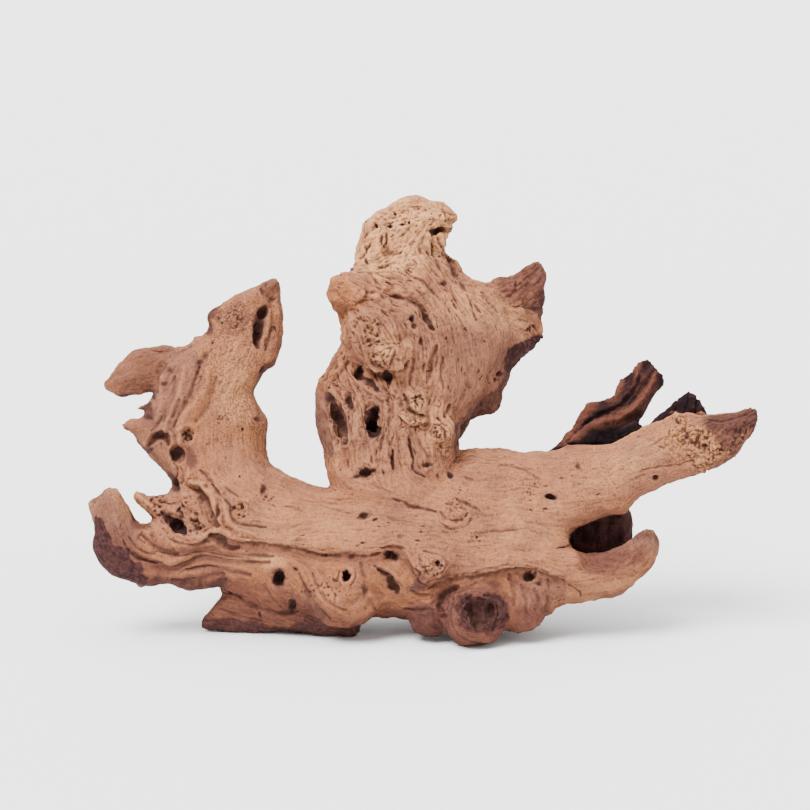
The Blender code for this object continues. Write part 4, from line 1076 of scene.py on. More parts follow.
# The centre burl: a tall, twisted bole, grown out of the trunk, whose fibres run steeply down and to the
# right. It has a swollen knob, deep hollows under it, a head that hooks over to the right, and a wing that
# ends in dark bark.
def gnarl(u, v, radius, height, seed):
    """A gnarled knot: within its radius the skin swells by height and is creased where two noises pass
    through 0."""
    at = near([(u, v)], 1.5 * radius)
    far = np.hypot(q[at, 0] - u, q[at, 1] - v) / radius + 0.2 * noise(p[at], 3, seed)
    within = (1 - soft(far, 0.6, 1.15)) * front[at]
    folds = 0.65 * np.abs(noise(p[at], 2.4, seed + 1)) + 0.35 * np.abs(noise(p[at], 1.3, seed + 2))
    lift[at] += within * (height + 2.4 * (folds - 0.2))
    # painted shade in the creases
    hollow[at] = np.maximum(hollow[at], within * 0.36 * (1 - soft(folds, 0.02, 0.16)))


BURL = [(-66, 100), (-66, 160), (-60, 225), (-40, 262), (20, 268), (24, 230), (80, 232), (80, 180),
        (45, 135), (22, 104)]
patch(rough, BURL, 1, 22)
patch(pitted, BURL, 0.8, 22)
FLANK = [(12, 124), (8, 160), (16, 192), (34, 206), (62, 192), (60, 166), (44, 140), (26, 120)]
rough *= 1 - 0.45 * area(FLANK, 16, 4, 9)
# swollen knobs and folds, and the outline's lumps and dips
for row in (
    (-42, 210, 5, 10, 2.6, 10),
    (-55, 219, 4, 3, 2.2),
    (-45, 223, 2.5, 2, -2.5),
    (-52, 196, 3, 5, 2),
    (-62, 157, 3, 8, 1.4),
    (47, 217, 4, 3, 2.4),
    (70, 205, 4, 14, 1.4),
    (42, 140, 4, 3, 1.6),
    (50, 166, 3, 3, -2),
    (21, 130, 3, 3, -1.5),
    (-37, 246, 5, 8, -2),
    (-23, 262, 5, 4, -1.4),
    (-25, 180, 13, 15, 3),
    (-24, 170, 8, 7, 1.5),
    (-27, 160, 15, 5, -1.5, 20),
    (-4, 145, 8, 8, 1.5),
    (8, 127, 8, 8, 1.5),
    (-41, 137, 3.5, 16, 1.8),
    (-22, 125, 4, 20, 1.5),
    (-34, 110, 10, 8, 1.5),
    (4, 205, 5, 26, 1.5, 32),
    (22, 180, 10, 26, -1.2, 8),
    (-15, 213, 20, 4, 1.2, -20),
    (-12, 250, 16, 10, 1.5),
    (-20, 234, 10, 6, -1.5, -20),
):
    swell(*row)
# holes in the upper half and the head
for row in (
    (-8.2, 194, 1.7, 2.2, 2.2),
    (-7, 190, 2, 2.3, 1.8, 0.8, 10),
    (-2, 181.5, 1.5, 2.9, 1.8, 0.8, 10),
    (-9, 216.5, 2.4, 1.2, 0.8, 0.45),
    (12, 216.5, 2.2, 1.8, 1.2, 0.6, -30),
    (-38, 165, 3, 3.8, 2, 0.72, 15),
):
    hole(*row)
# the hollows down the left side and at the foot
for row in (
    (-21.5, 159.5, 2, 4.6, 1.8, 0.66, 8),
    (-28, 153, 1.8, 2.2, 1.6, 0.7, -20),
    (-57, 148, 2, 3, 1.5, 0.7, 10),
    (-45, 145.5, 2.6, 5.2, 2.5, 0.75, 12),
    (-29.5, 139, 3, 4.6, 3),
    (-31, 130, 4.3, 5.4, 3, 1, 20),
    (-34, 104, 5.6, 4, 1.6, 0.62, 10, 0.5),
    (-40, 101, 2.4, 1.3, 1.2, 0.8, 15),
    (2, 108, 3, 1.9, 1.6, 0.66, -10),
    (16, 102, 1.6, 2.6, 1.8, 0.8, 20),
    (9, 101, 1, 2.2, 1, 0.5, 10),
):
    hole(*row)
# the pit under the head's hook, and borer holes in the head, the wing and the flank
for row in (
    (-20, 250.5, 1.2, 1.2, 1.6),
    (-28.5, 251, 1, 1.7, 1.5, 1, 20),
    (-12.5, 250.5, 1.4, 1, 1.4),
    (-8.5, 251.5, 0.9, 1.4, 1.2),
    (-17, 258.5, 1, 1, 1.2),
    (-34, 229.5, 1.2, 2, 1.2, 0.6),
    (8, 247.5, 5.6, 2.7, 2.4, 0.7, 12, 0.4),
    (55, 216, 0.7, 2.6, 1.5, 1, -15),
    (62, 214.5, 2.6, 2.6, 0.8, 0.35),
    (45.5, 162, 2.6, 1.7, 2, 1, 20),
    (42.5, 158.5, 1.2, 1.6, 1.4),
    (15, 180, 2.2, 3, 0.6, 0.2),
    (26, 155.5, 3, 2.4, 0.6, 0.25),
    (36.5, 181, 0.9, 0.9, 1, 0.6),
):
    hole(*row)
# pits strewn over the knobs and the head
for row in (
    (65.5, 189, 3.4, 14, 0.7, 0.9, 51),
    (-31, 182, 5, 20, 0.7, 0.8, 53, 0.7),
    (-5, 147, 4.5, 22, 0.7, 0.9, 54),
    (7, 128, 5, 16, 0.7, 0.8, 55, 0.6),
    (0, 256, 10, 14, 0.5, 0.6, 57),
    (12, 256, 5, 12, 0.6, 0.6, 58, 0.5),
    (-54, 155, 5, 14, 0.7, 0.8, 59, 0.5),
):
    pits(*row)
# spongy wood beside the knob, on the head and between the hollows
for row in (
    (-34, 104, 5.5, 4, 2, 0.8, 91, 0.7),
    (-33, 187, 10.35, 9, 2, 1.3, 52, 0.54),
    (-18, 255, 10.35, 9, 1.5, 1.1, 56, 0.55),
    (-24, 173, 8.05, 7, 1.8, 1.3, 60, 0.45),
):
    sponge(*row)
# the gnarled knots
for row in (
    (-5.5, 144.5, 6.5, 0.6, 61),
    (8, 127.5, 7, 0.8, 64),
    (-24, 171, 6.5, 0.3, 67),
    (12, 115, 6, 0, 70),
):
    gnarl(*row)
# the knob's fold, and the long groove that winds down across the upper half
for row in (
    ([(-46, 199), (-40, 205), (-36, 213)], 2, -1, 0),
    ([(-20, 208), (-12, 206), (-5, 203), (-1, 198), (2, 193), (5, 188)], 1.6, 1.9, 0.65),
    ([(-1, 197), (2, 192.5), (5, 188)], 1, 1.6, 0.9),
    ([(-22.5, 207), (-19, 203.5)], 0.8, 0.8, 0.5),
):
    furrow(*row)
# cracks between the hollows and down to the foot
for row in (
    ([(-41, 162.5), (-35, 158), (-29, 153.5)], 1.5, 2.5, 0.95),
    ([(-29, 169.5), (-25, 165.5), (-20, 163.8), (-14, 165.5), (-9, 170)], 1.4, 2.2, 0.55),
    ([(-28, 175), (-24, 178), (-19.5, 176.5), (-19, 171), (-22, 167)], 0.7, 0.9, 0.5),
    ([(-26, 171), (-27, 166), (-22, 166.5)], 0.7, 0.9, 0.5),
    ([(-56, 149), (-53, 142), (-50, 134), (-47.5, 126), (-48, 121)], 3, 3.5, 1),
    ([(-19, 118), (-19, 111), (-18.5, 105.5)], 1, 2.2, 0.9),
    ([(-10.5, 126), (-8.5, 119), (-7, 113), (-7, 106), (-4.5, 103), (1, 100.5)], 1, 1.6, 0.8),
):
    furrow(*row)
# creases and folds round the gnarled knots
for row in (
    ([(-34, 165), (-27, 160.5), (-18, 161.5), (-11, 167)], 2.2, 2.6, 0.5),
    ([(-12, 149.5), (-10.5, 145), (-8.5, 141), (-4, 138.7), (-1, 138)], 1.2, 2.2, 0.95),
    ([(-15, 143.5), (-14.5, 139), (-10.5, 135.2), (-5, 134.2), (0, 135.5)], 2.1, -3, 0),
    ([(-17, 141), (-15, 135), (-9, 131), (-3, 131.5)], 0.8, 1.2),
    ([(5, 132.5), (9, 131.5), (12, 128.5), (12, 123), (9, 120)], 0.9, 1.4, 0.7),
    ([(7.5, 136), (10, 133), (13, 131)], 0.9, 1.4, 0.8),
    ([(3, 125), (3, 130), (6, 132)], 0.8, 1, 0.4),
    ([(15.5, 143.5), (13, 139.5), (12, 136)], 1.2, 1.2, 0.55),
):
    furrow(*row)
# shallow valleys above them
for row in (
    ([(7, 178), (4.5, 170), (3.2, 163), (2, 157.5)], 2, 1.4, 0.4),
    ([(-6, 170), (-8.5, 162), (-9, 156)], 1.5, 0.9, 0.35),
    ([(11, 172), (10.5, 163), (11, 154)], 1, 0.8, 0.3),
):
    furrow(*row)
# cracks in the head, down its throat and along the wing's root
for row in (
    ([(-25, 244.5), (-25.3, 240)], 0.9, 2, 0.9),
    ([(-22.5, 246), (-22.3, 240)], 0.9, 2, 0.9),
    ([(-24, 239.5), (-20, 235.5), (-14, 234.5)], 1.6, 1.3, 0.45),
    ([(-35.5, 238.5), (-33.8, 235), (-36, 232.5), (-38, 231)], 1, 1.4, 0.8),
    ([(-41, 231), (-42, 226.5), (-42, 223)], 1, 1.2, 0.9),
    ([(4, 244), (8, 249), (14, 250)], 1.8, 2, 0.9),
    ([(14, 232), (16, 228), (18, 224), (21, 219)], 1.8, 2.2, 0.95),
    ([(21.5, 217.5), (24.5, 213)], 0.8, 1.3, 0.8),
    ([(24.5, 208.5), (26.5, 205), (28.3, 200.5)], 1, 1.4, 0.75),
    ([(29.5, 203.5), (33, 199)], 1, 1, 0.5),
    ([(29, 198), (31, 193.5)], 0.8, 1, 0.5),
    ([(34, 210.5), (37, 207.5), (39.5, 204)], 0.9, 1.1),
    ([(40, 203), (44, 199)], 0.8, 0.9, 0.45),
    ([(4.5, 240), (5.5, 234), (8, 228), (10, 224)], 0.9, 1.2),
    ([(8, 243), (9, 238), (11, 232)], 0.8, 1.2),
):
    furrow(*row)
# long shallow furrows along the twist
for row in (
    ([(12, 200), (16, 190), (19, 180)], 1.2, 0.8, 0.3),
    ([(20, 196), (26, 184), (29, 172)], 1, 0.7, 0.25),
    ([(38.5, 162), (39.5, 156)], 0.8, 0.9),
    ([(-60, 158), (-56, 166), (-50, 175)], 1.2, 0.9, 0.4),
    ([(-54, 158), (-48, 166), (-44, 174)], 1.2, 0.9, 0.4),
    ([(-38, 150), (-38, 138), (-40, 126), (-40, 116)], 1.6, -1, 0),
    ([(-24, 132), (-25, 124), (-27, 116)], 1, 1, 0.4),
    ([(-22, 146), (-20.5, 136), (-22, 126), (-20, 118)], 1.2, 0.9, 0.35),
):
    furrow(*row)
# dark bark on the wing's end and under it, behind the flank and in the knob's crook
for row in (
    ([(50, 164), (48, 172), (51, 178.5), (60, 181), (68, 185.5), (76, 186), (74, 172),
      (60, 164)], 1, 1.8, 1.2),
    ([(18, 131), (26, 135), (31, 143), (37, 149), (43, 151), (46, 157), (48, 163), (52, 168),
      (56, 162), (50, 134), (20, 126)], 0.72, 2, 1.2),
    ([(64, 232), (69, 229), (70, 214), (69, 205), (69, 196), (76, 196), (78, 232)], 0.75, 4, 1.5),
    ([(42, 218), (46, 221), (52, 219.5), (46, 216.5)], 0.8, 2, 0.5),
    ([(-46, 231), (-42, 231), (-41.5, 224), (-44, 220)], 0.8, 1.5, 0.5),
    ([(56, 222), (66, 232), (74, 230), (76, 192), (68, 192), (66, 206), (66, 216)], 0.5, 6),
):
    patch(bark, *row)
# red on the wing and the knob's foot, and on the left edge partly painted shade
for row in (
    ([(-66, 110), (-68, 150), (-57, 152), (-53, 130), (-54, 112)], 0.4, 5),
    ([(48, 206), (44, 218), (60, 229), (70, 232), (76, 212), (72, 194), (60, 200)], 0.9, 10),
    ([(-44, 170), (-40, 160), (-24, 150), (-16, 166), (-30, 174)], 0.4, 9),
):
    patch(ruddy_and_painted_shading, *row)
# orange knob and left side
for row in (
    ([(-62, 205), (-60, 223), (-47, 222), (-41, 212), (-39, 202), (-48, 190), (-56, 196)], 1, 9),
    ([(-68, 98), (-68, 160), (-55, 172), (-45, 184), (-42, 172), (-50, 158), (-56, 135),
      (-55, 98)], 0.8, 9),
):
    patch(tawny, *row)
# duller wood over the flank and the middle, and painted shade over the left edge
for row in (
    ([(-66, 110), (-68, 150), (-57, 152), (-53, 130), (-54, 112)], 0.9, 5),
    (FLANK, 0.6, 16, 4, 9),
    ([(-48, 150), (-48, 185), (-30, 205), (0, 200), (10, 160), (0, 120), (-40, 112)], 0.4, 24, 5, 9),
):
    patch(dusky_and_painted_shade, *row)
# cream head, and cream spots on the knobs and the flank: bleached wood, and painted light on the head and the
# knob, which face up into the light
for row in (
    ([(-46, 224), (-38, 250), (-18, 268), (8, 268), (24, 256), (16, 240), (0, 224),
      (-24, 218)], 0.85, 16, 4),
    ([(-34, 180), (-24, 188), (-12, 184), (-6, 172), (-14, 160), (-28, 163)], 0.4, 9, 3),
    ([(4, 200), (20, 214), (44, 206), (64, 196), (58, 186), (30, 190)], 0.4, 16, 4),
    ([(-14, 138), (-10, 152), (2, 152), (18, 138), (18, 120), (4, 116)], 0.35, 8, 3),
):
    patch(bleached_and_highlight, *row)
patch(crumb, [(-43, 196), (-27, 194), (-23, 186), (-28, 178), (-38, 178), (-44, 186)], 0.55, 8, 3)
burl_outline = [(-66, 97), (24, 111), (40, 128), (82, 180), (82, 300), (-77, 300), (-77, 130)]
burl = part_off("centre_burl", within(burl_outline, ALL_DEPTHS))
burl.data.materials.append(sandblasted)


# The right hook: the lip that curls up under the arm, one growth with the trunk, worn smooth and stained
# red along the inside of its curl.

# the hollow in the curl
swell(106, 47, 13, 6, -1.6, 8)
# the fold under it, the cracks below the arm and in front
for row in (
    ([(96, 42), (104, 39.5), (114, 42), (124, 47)], 1.6, -0.8, 0),
    ([(79, 57.8), (86, 59.3), (89, 62), (92, 67)], 0.6, 0.9, 0.7),
    ([(86, 61), (87, 64), (91, 66.5)], 0.5, 0.7, 0.5),
    ([(86, 36), (90, 33.5), (94, 31), (93.3, 28.5)], 0.6, 0.9, 0.8),
):
    furrow(*row)
patch(
    ruddy_and_painted_shading, [(90, 62), (94, 46), (100, 41), (112, 41), (124, 45), (132, 52), (130, 60), (118, 57),
     (100, 60)], 1, 7
)
for row in (
    ([(92, 60), (98, 50), (110, 49), (124, 53), (124, 62), (94, 66)], 1, 6),
    ([(122, 60), (132, 56), (140, 60), (138, 72), (126, 72)], 0.9, 6),
):
    patch(dusky_and_painted_shade, *row)
patch(tawny, [(84, 20), (84, 44), (110, 40), (138, 52), (138, 36), (100, 20)], 0.6, 10, 3)
patch(bark, [(127, 71), (134, 70), (138, 64), (133, 62), (127, 64)], 0.5, 6)
patch(bleached_and_highlight, [(84, 24), (86, 38), (108, 37), (122, 42), (128, 38), (110, 26)], 0.3, 6, 3)
FRONT_DEPTHS = (-90, 7)  # what lies deeper belongs to the rear fork
lip = part_off("right_hook", within([(84, -5), (160, -5), (160, 78), (84, 61.5)], FRONT_DEPTHS))
lip.data.materials.append(sandblasted)


# The right arm: a pale, smooth limb that reaches out to the right. Its end crumbles into little cells of
# soft wood that rot has eaten out, and closes in a dark tip.
pitted *= 1 - 0.6 * area([(84, 78), (84, 112), (150, 122), (160, 108), (140, 96), (112, 80)], 10)
# the tip's outline, and the dip above the arm's root
for row in (
    (92, 107.5, 4, 4, -1.4),
    (151.5, 135, 4, 4, 2.6),
    (163, 138, 6, 4, -3.2),
    (197, 141, 4, 3, 1.6),
    (191, 121, 4, 5, -2),
    (172, 128, 6, 7, -1.6),
    (179, 110, 8, 4, -1.6),
):
    swell(*row)
# a borer hole and two faint dents
for row in (
    (137, 100.4, 1.9, 1.5, 1.8, 0.95, 5, 0.4),
    (92, 107, 1.4, 2.2, 0.8, 0.5, 30),
    (82, 100, 1.4, 1, 0.6, 0.35),
):
    hole(*row)
# the fold and the crack along the arm, and the ridge and groove of the tip
for row in (
    ([(129, 105), (138, 106.5), (150, 107.5), (158, 110)], 0.6, 0.7, 0.25),
    ([(98, 88), (112, 89), (124, 94)], 3, -0.7, 0),
    ([(172, 124), (180, 130), (190, 133), (198, 137)], 1.6, -1.2, 0),
    ([(170, 135), (180, 134), (190, 138), (196, 141)], 1, 1.2, 0.3),
):
    furrow(*row)
# the tip's eaten lower edge
for row in (
    (190, 127, 11, 7, 1.8, 2, 61, 0.7),
    (180, 117, 9, 5, 1.8, 1.6, 62),
):
    sponge(*row)
CRUMBLE = [(148, 128), (149, 138), (157, 138.5), (162, 131), (171, 131), (174, 122), (177, 115),
           (172, 107), (164, 103)]
CRUMBLE += [(158, 106), (158, 113), (154, 119), (149, 121)]
# crumbling wood, thick on the upper side and thin beside it and under the tip
for row in (
    (CRUMBLE, 1, 4, 3),
    ([(140, 122), (146, 132), (154, 124), (158, 112), (150, 108), (144, 114)], 0.4, 6, 3),
    ([(174, 110), (181, 116), (186, 119), (188, 114), (178, 104)], 0.5, 4),
):
    patch(crumb, *row)
patch(
    bark, [(164, 134), (171, 142), (186, 141), (200, 148), (204, 136), (197, 129), (189, 125),
     (183, 119), (177, 117), (172, 123)], 0.72, 3, 3
)
# the red tip and the arm's red lower edge
for row in (
    ([(166, 132), (171, 140), (186, 139), (200, 146), (203, 136), (196, 131), (186, 122)], 0.9),
    ([(165, 100), (176, 112), (188, 121), (202, 134), (198, 114), (180, 100)], 0.7, 6),
    ([(180, 112), (186, 122), (196, 131), (202, 132), (200, 120), (184, 108)], 1, 4),
):
    patch(ruddy_and_painted_shading, *row)
patch(dusky_and_painted_shade, [(116, 92), (118, 114), (142, 122), (150, 112), (146, 100), (132, 94)], 0.3, 12, 4)
patch(tawny, [(112, 84), (140, 96), (176, 112), (186, 120), (180, 104), (150, 92), (120, 80)], 0.4, 10, 3)
patch(bleached_and_highlight, [(96, 96), (110, 110), (134, 118), (146, 120), (140, 108), (118, 100)], 0.35, 12, 4)
patch(specked, [(84, 78), (84, 108), (150, 118), (160, 108), (140, 96), (112, 84)], 0.5, 14, 5, 9)


def cells(points, size):
    """How near points lie to the walls between little cells: each cube holds one random seed, and the value
    is the distance to the nearest seed, 0 at a seed and about 1 on the walls."""
    place = points / size
    low = np.floor(place).astype(int)
    nearest = np.full(len(points), 9.0)
    for i in (-1, 0, 1):
        for j in (-1, 0, 1):
            for k in (-1, 0, 1):
                cube = low + (i, j, k)
                seeds = [RANDOM[tuple((cube + (31 * axis, 0, 17)).T % BLOCK)] for axis in (0, 1, 2)]
                gap = cube + np.stack(seeds, axis=1) - place
                nearest = np.minimum(nearest, np.linalg.norm(gap, axis=1))
    return nearest


CELL_SIZE = 4.2
at = np.nonzero(crumb > 0.02)[0]
shaken = p[at] * (1, 0.8, 1) + 1.2 * np.stack([noise(p[at], 3, 30 + k) for k in range(3)], axis=1)
lumps = cells(shaken, CELL_SIZE)
curls = 0.45 * np.abs(noise(p[at], 2.6, 34)) + 0.55 * np.abs(noise(p[at], 1.4, 35))
lift[at] += crumb[at] * (2.4 * (0.55 - lumps) + 4.0 * (curls - 0.2))
# painted shade in the gaps between the cells, and a painted highlight on the raised curls
gaps = np.maximum(soft(lumps, 0.6, 0.9), 1 - soft(curls, 0.03, 0.17))
hollow[at] = np.maximum(hollow[at], crumb[at] * 0.8 * gaps)
bleached_and_highlight[at] = np.maximum(bleached_and_highlight[at], crumb[at] * 0.3 * soft(curls - 0.6 * lumps, -0.25, 0.1))
arm = part_off("right_arm", within([(98, 68), (150, 79), (240, 110), (240, 170), (98, 170)], FRONT_DEPTHS))
arm.data.materials.append(sandblasted)


# The rear fork: old, dark wood that grew on behind the arm, with a fluted prong with red-brown stripes, a
# pointed prong, and the wall that is seen through the opening between the arm and the hook.
charred = weathered(
    "dark weathered mopani",
    pale=(0.028, 0.012, 0.0135),
    shade=(0.007, 0.0036, 0.0045),
    amber=(0.172, 0.060, 0.032),
    red=(0.108, 0.037, 0.025),
    dull=(0.014, 0.0062, 0.0078),
    dark=(0.010, 0.0055, 0.0066),
    brown=(0.010, 0.005, 0.005),
    black=(0.004, 0.002, 0.003),
    straw=(0.12, 0.05, 0.025),
    cream=(0.075, 0.036, 0.036),
)
charred.node_tree.nodes["Principled BSDF"].inputs["Specular IOR Level"].default_value = 0.05
behind_arm = rear * front
left_edge = rear * soft(-n[:, 0], 0.1, 0.7) * soft(p[:, 0], 88, 92)
# The wall reaches to the opening's left edge, and the prong's upper edge has a knob and a notch.
lift += 4.0 * left_edge * np.exp(-(((p[:, 1] - 62) / 8) ** 2))
lift += 2.0 * rear * np.exp(-(((p[:, 0] - 101) / 4) ** 2) - ((p[:, 1] - 143) / 3) ** 2)
lift -= 1.6 * rear * np.exp(-(((p[:, 0] - 113) / 4) ** 2) - ((p[:, 1] - 150) / 4) ** 2)
# The fluted prong is red on its flutes, the pointed one is dull, and the wall is streaked red and cream.
flutes = soft(broad + 0.5 * middle, 0.2, 1.3)
pointed = soft(p[:, 0], 138, 146)
prongs = behind_arm * soft(p[:, 1], 112, 126)
ruddy_and_painted_shading = np.maximum(ruddy_and_painted_shading, prongs * 0.25 * flutes * (1 - pointed))
dusky_and_painted_shade = np.maximum(dusky_and_painted_shade, prongs * 0.9 * pointed)
ruddy_and_painted_shading = np.maximum(ruddy_and_painted_shading, 0.7 * rear * (1 - soft(p[:, 0], 78, 92)))
wall = rear * (1 - soft(p[:, 1], 84, 92))
bark *= 1 - 0.8 * wall
ruddy_and_painted_shading = np.maximum(ruddy_and_painted_shading, wall * (0.12 + 0.2 * flutes))
bleached_and_highlight = np.maximum(bleached_and_highlight, wall * (0.35 + 0.35 * soft(noise(p, 6, 54), -0.3, 0.5)))
rough[rear] *= 0.6
pitted[rear] = 0.0
lift += behind_arm * 0.5 * broad
# the prong's flutes: ridges along it, red and orange
for ridge, half in (
    ([(86, 119), (97, 128), (110, 133.5), (121, 136.5), (129, 144), (136, 153), (141, 162)], 2.4),
    ([(84, 121), (91, 130), (97, 138), (105, 143)], 2.0),
    ([(110, 146), (117, 152), (121, 158)], 1.6),
    ([(128, 158), (133, 168)], 1.6),
):
    furrow(ridge, half, -1.8, 0)
    tint(ruddy_and_painted_shading, ridge, 1.5 * half, 1.0)
    tint(tawny, ridge, half, 1.0)
furrow([(96, 131), (108, 138), (118, 142), (125, 150), (132, 160)], 1.2, 1.6, 0.9)
# the shade in the recess between the prong and the arm, and the cracks across the pointed prong
recess = np.zeros(len(p))
tint(recess, [(92, 117), (104, 121), (118, 124), (130, 128)], 5.5, 1.3)
hollow = np.maximum(hollow, recess * rear)
for u in (143, 149, 155, 161):
    furrow([(u, 136), (u + 3, 143), (u + 4, 150)], 0.7, 1.2, 0.5)
fork = part_off("rear_fork", within([(74, 10), (240, 10), (240, 210), (74, 210)], (7, 130)))
fork.data.materials.append(charred)


# The trunk: the broad, low middle that all limbs grow from. Its upper face is pale and smooth down to a
# rim, and below the rim the wood is redder and full of borer holes, down to a foot, a bark-filled knot and
# two stubs behind.
RIM = [(-141, 59), (-113, 58), (-84, 57.5), (-66, 54), (-40, 52), (-26, 54), (-14, 56), (-9, 49),
       (-3, 38), (6, 34.5)]
RIM += [(16, 37.5), (46, 42), (60, 43.5), (72, 40), (84, 35.5), (97, 34), (110, 35)]
# the rim, red along its edge
tint(ruddy_and_painted_shading, RIM, 2.6, 0.8)
FOLDS = [(-80, 54), (-28, 55), (-6, 40), (20, 38), (60, 43), (90, 34), (90, 10), (-40, 8), (-80, 20)]
folded = area(FOLDS, 10, 3)
ruddy_and_painted_shading = np.maximum(ruddy_and_painted_shading, 0.6 * folded * soft(rope, 0.3, 1.4))
dusky_and_painted_shade = np.maximum(dusky_and_painted_shade, 0.6 * folded * soft(-rope, 0.3, 1.4))
lift += 0.35 * folded * broad
rough *= 1 - 0.5 * folded
bleached_and_highlight -= 0.25 * folded
pitted *= 1 - 0.5 * folded
UNDER_RIM = [(-141, 57), (-126, 64), (-113, 59.5), (-84, 58.5), (-66, 55), (-40, 53.5), (-28, 55),
             (-15, 57), (-9, 49)]
UNDER_RIM += [(-3, 40), (4, 36), (16, 39), (46, 43.5), (60, 45), (72, 41), (82, 36), (84, 0), (-141, 0)]
# the orange wood under it
patch(tawny, UNDER_RIM, 0.9, 5)
KNOT = [(17.5, 25), (20, 31), (25, 32.5), (30, 29.5), (37, 31.5), (44, 30), (49, 25), (50, 18), (46, 11),
        (38, 7.5), (28, 9), (21, 14)]
# the boss on the underside, the foot's lumps and the knot's dish
for row in (
    (-52, 31, 12, 11, 2),
    (-130, 27, 5, 8, 1.8),
    (-130, 13, 4, 5, 1.8),
    (34, 21, 12, 10, -2.4),
):
    swell(*row)
# borer holes in the underside, the face and the lobes
for row in (
    (-86, 40.5, 4.4, 5.8, 2.2, 0.95, 0, 0.4),
    (-78.7, 23.8, 2.1, 4.4, 2.5, 1, -12),
    (-76, 46.5, 2.2, 1.1, 1.2, 0.6, -35),
    (-46.3, 42, 2.6, 3.9, 2.6, 1, 12, 0.6),
    (-44, 53, 2.2, 1.3, 1.5, 0.8),
    (-19, 53.5, 4.9, 2.7, 2.2, 0.9, -25, 0.3),
    (-19, 35, 2.6, 2.2, 1.5, 0.75),
    (-35, 34, 2, 3.2, 1, 0.45, 15),
    (-36, 78, 3.4, 1.5, 2, 1, 14),
    (-29.6, 75, 1.6, 0.9, 1.5, 0.9, 35),
    (-36.5, 61, 1.8, 0.8, 1, 0.75),
    (-14.8, 65, 1.9, 1.5, 0.6, 0.3, 20),
    (8, 49.5, 1.8, 1.9, 2, 1, 30),
    (10.5, 48, 1.3, 1.2, 1.2, 0.8),
    (0.5, 44, 1, 1, 1, 0.7),
    (31.2, 64.3, 0.9, 0.9, 1.2),
    (62, 41, 3.6, 3.4, 1.6, 0.7, 0, 0.5),
    (68, 37, 1.7, 1.5, 1.2, 0.75),
    (75.3, 88.7, 4, 1.6, 2.4, 1, -8),
    (-96, 93, 1.9, 2.8, 1.4, 0.65, -10),
):
    hole(*row)
# and in the foot, the crook and the far left
for row in (
    (-98, 18.5, 1.2, 2, 1.4, 0.8, 10),
    (-122.8, 79.5, 1.3, 4.4, 1.8, 0.7, 2),
    (-117, 31, 2, 1.4, 1, 0.5),
    (-48, 103, 1.5, 1.2, 0.8, 0.4),
):
    hole(*row)
# the hollows of the bark-filled knot
for row in (
    (13, 18.7, 1.4, 1.4, 0.8, 0.6),
    (39, 23, 3.6, 5.4, 2.6, 0.85, -15),
    (31, 14.5, 3, 2.2, 1.6, 0.8, 30),
    (25.5, 30, 2.8, 1.8, 1.6, 0.8, 20),
    (18.5, 31.5, 0.8, 0.8, 1),
):
    hole(*row)
# pits strewn on the face, the boss and the lobes
for row in (
    (-92, 88, 5, 14, 0.6, 0.6, 73, 0.5),
    (30, 64, 5, 8, 0.5, 0.5, 74, 0.5),
    (5, 46, 7, 16, 0.6, 0.6, 75, 0.6),
    (63, 41, 4, 18, 0.8, 0.8, 76),
    (-66, 32, 8, 20, 0.5, 0.5, 77, 0.5),
    (22, 88, 9, 20, 0.5, 0.5, 78, 0.4),
    (62, 92, 6, 14, 0.5, 0.5, 79, 0.4),
):
    pits(*row)
# spongy wood beside the branch, on the boss and in the knot
for row in (
    (-109, 80, 7.475, 6.5, 2.3, 1.8, 71, 0.72),
    (-54, 36, 9.775, 8.5, 2.1, 1.4, 72, 0.63),
    (33, 21, 15, 12, 4, 2.6, 80, 0.75),
    (25, 22, 7, 11, 1.9, 1.8, 86, 0.9),
):
    sponge(*row)
# the gnarled knots on the face and on the rim
for row in (
    (18, 77, 9.5, 0.1, 81),
    (6, 48, 7.5, 0.1, 84),
):
    gnarl(*row)
# grooves and ridges that wind round the crook between the hook and the branch
for row in (
    ([(-139, 95), (-133.5, 91.5), (-129.5, 85), (-127.5, 78), (-123, 71.5)], 2.6, 3, 0.55),
    ([(-127, 96), (-121, 89), (-116, 84), (-115.5, 77), (-112, 72), (-104, 70.8),
      (-94, 70.5)], 0.9, 1.1, 0.55),
    ([(-119, 94), (-111, 88)], 1, 0.8, 0.35),
    ([(-133, 96), (-127, 88), (-124, 80), (-121, 73)], 2, -2.4, 0),
    ([(-121, 91), (-118.5, 83), (-117.5, 75), (-111, 67.5), (-100, 65.5)], 2.2, -2.2, 0),
    ([(-143, 100), (-137, 97), (-131, 97)], 2, -1.6, 0),
    ([(-128, 66), (-122, 63.5), (-117, 58), (-111.5, 57.5)], 1.7, 2, 0.75),
    ([(-124.5, 66.5), (-118, 62), (-110, 58.5)], 1, 1.2, 0.7),
    ([(-148, 62), (-140, 64.5), (-133, 65), (-126, 69.5), (-119, 68), (-113, 63.5),
      (-104, 62.5)], 1.6, -1.6, 0),
):
    furrow(*row)
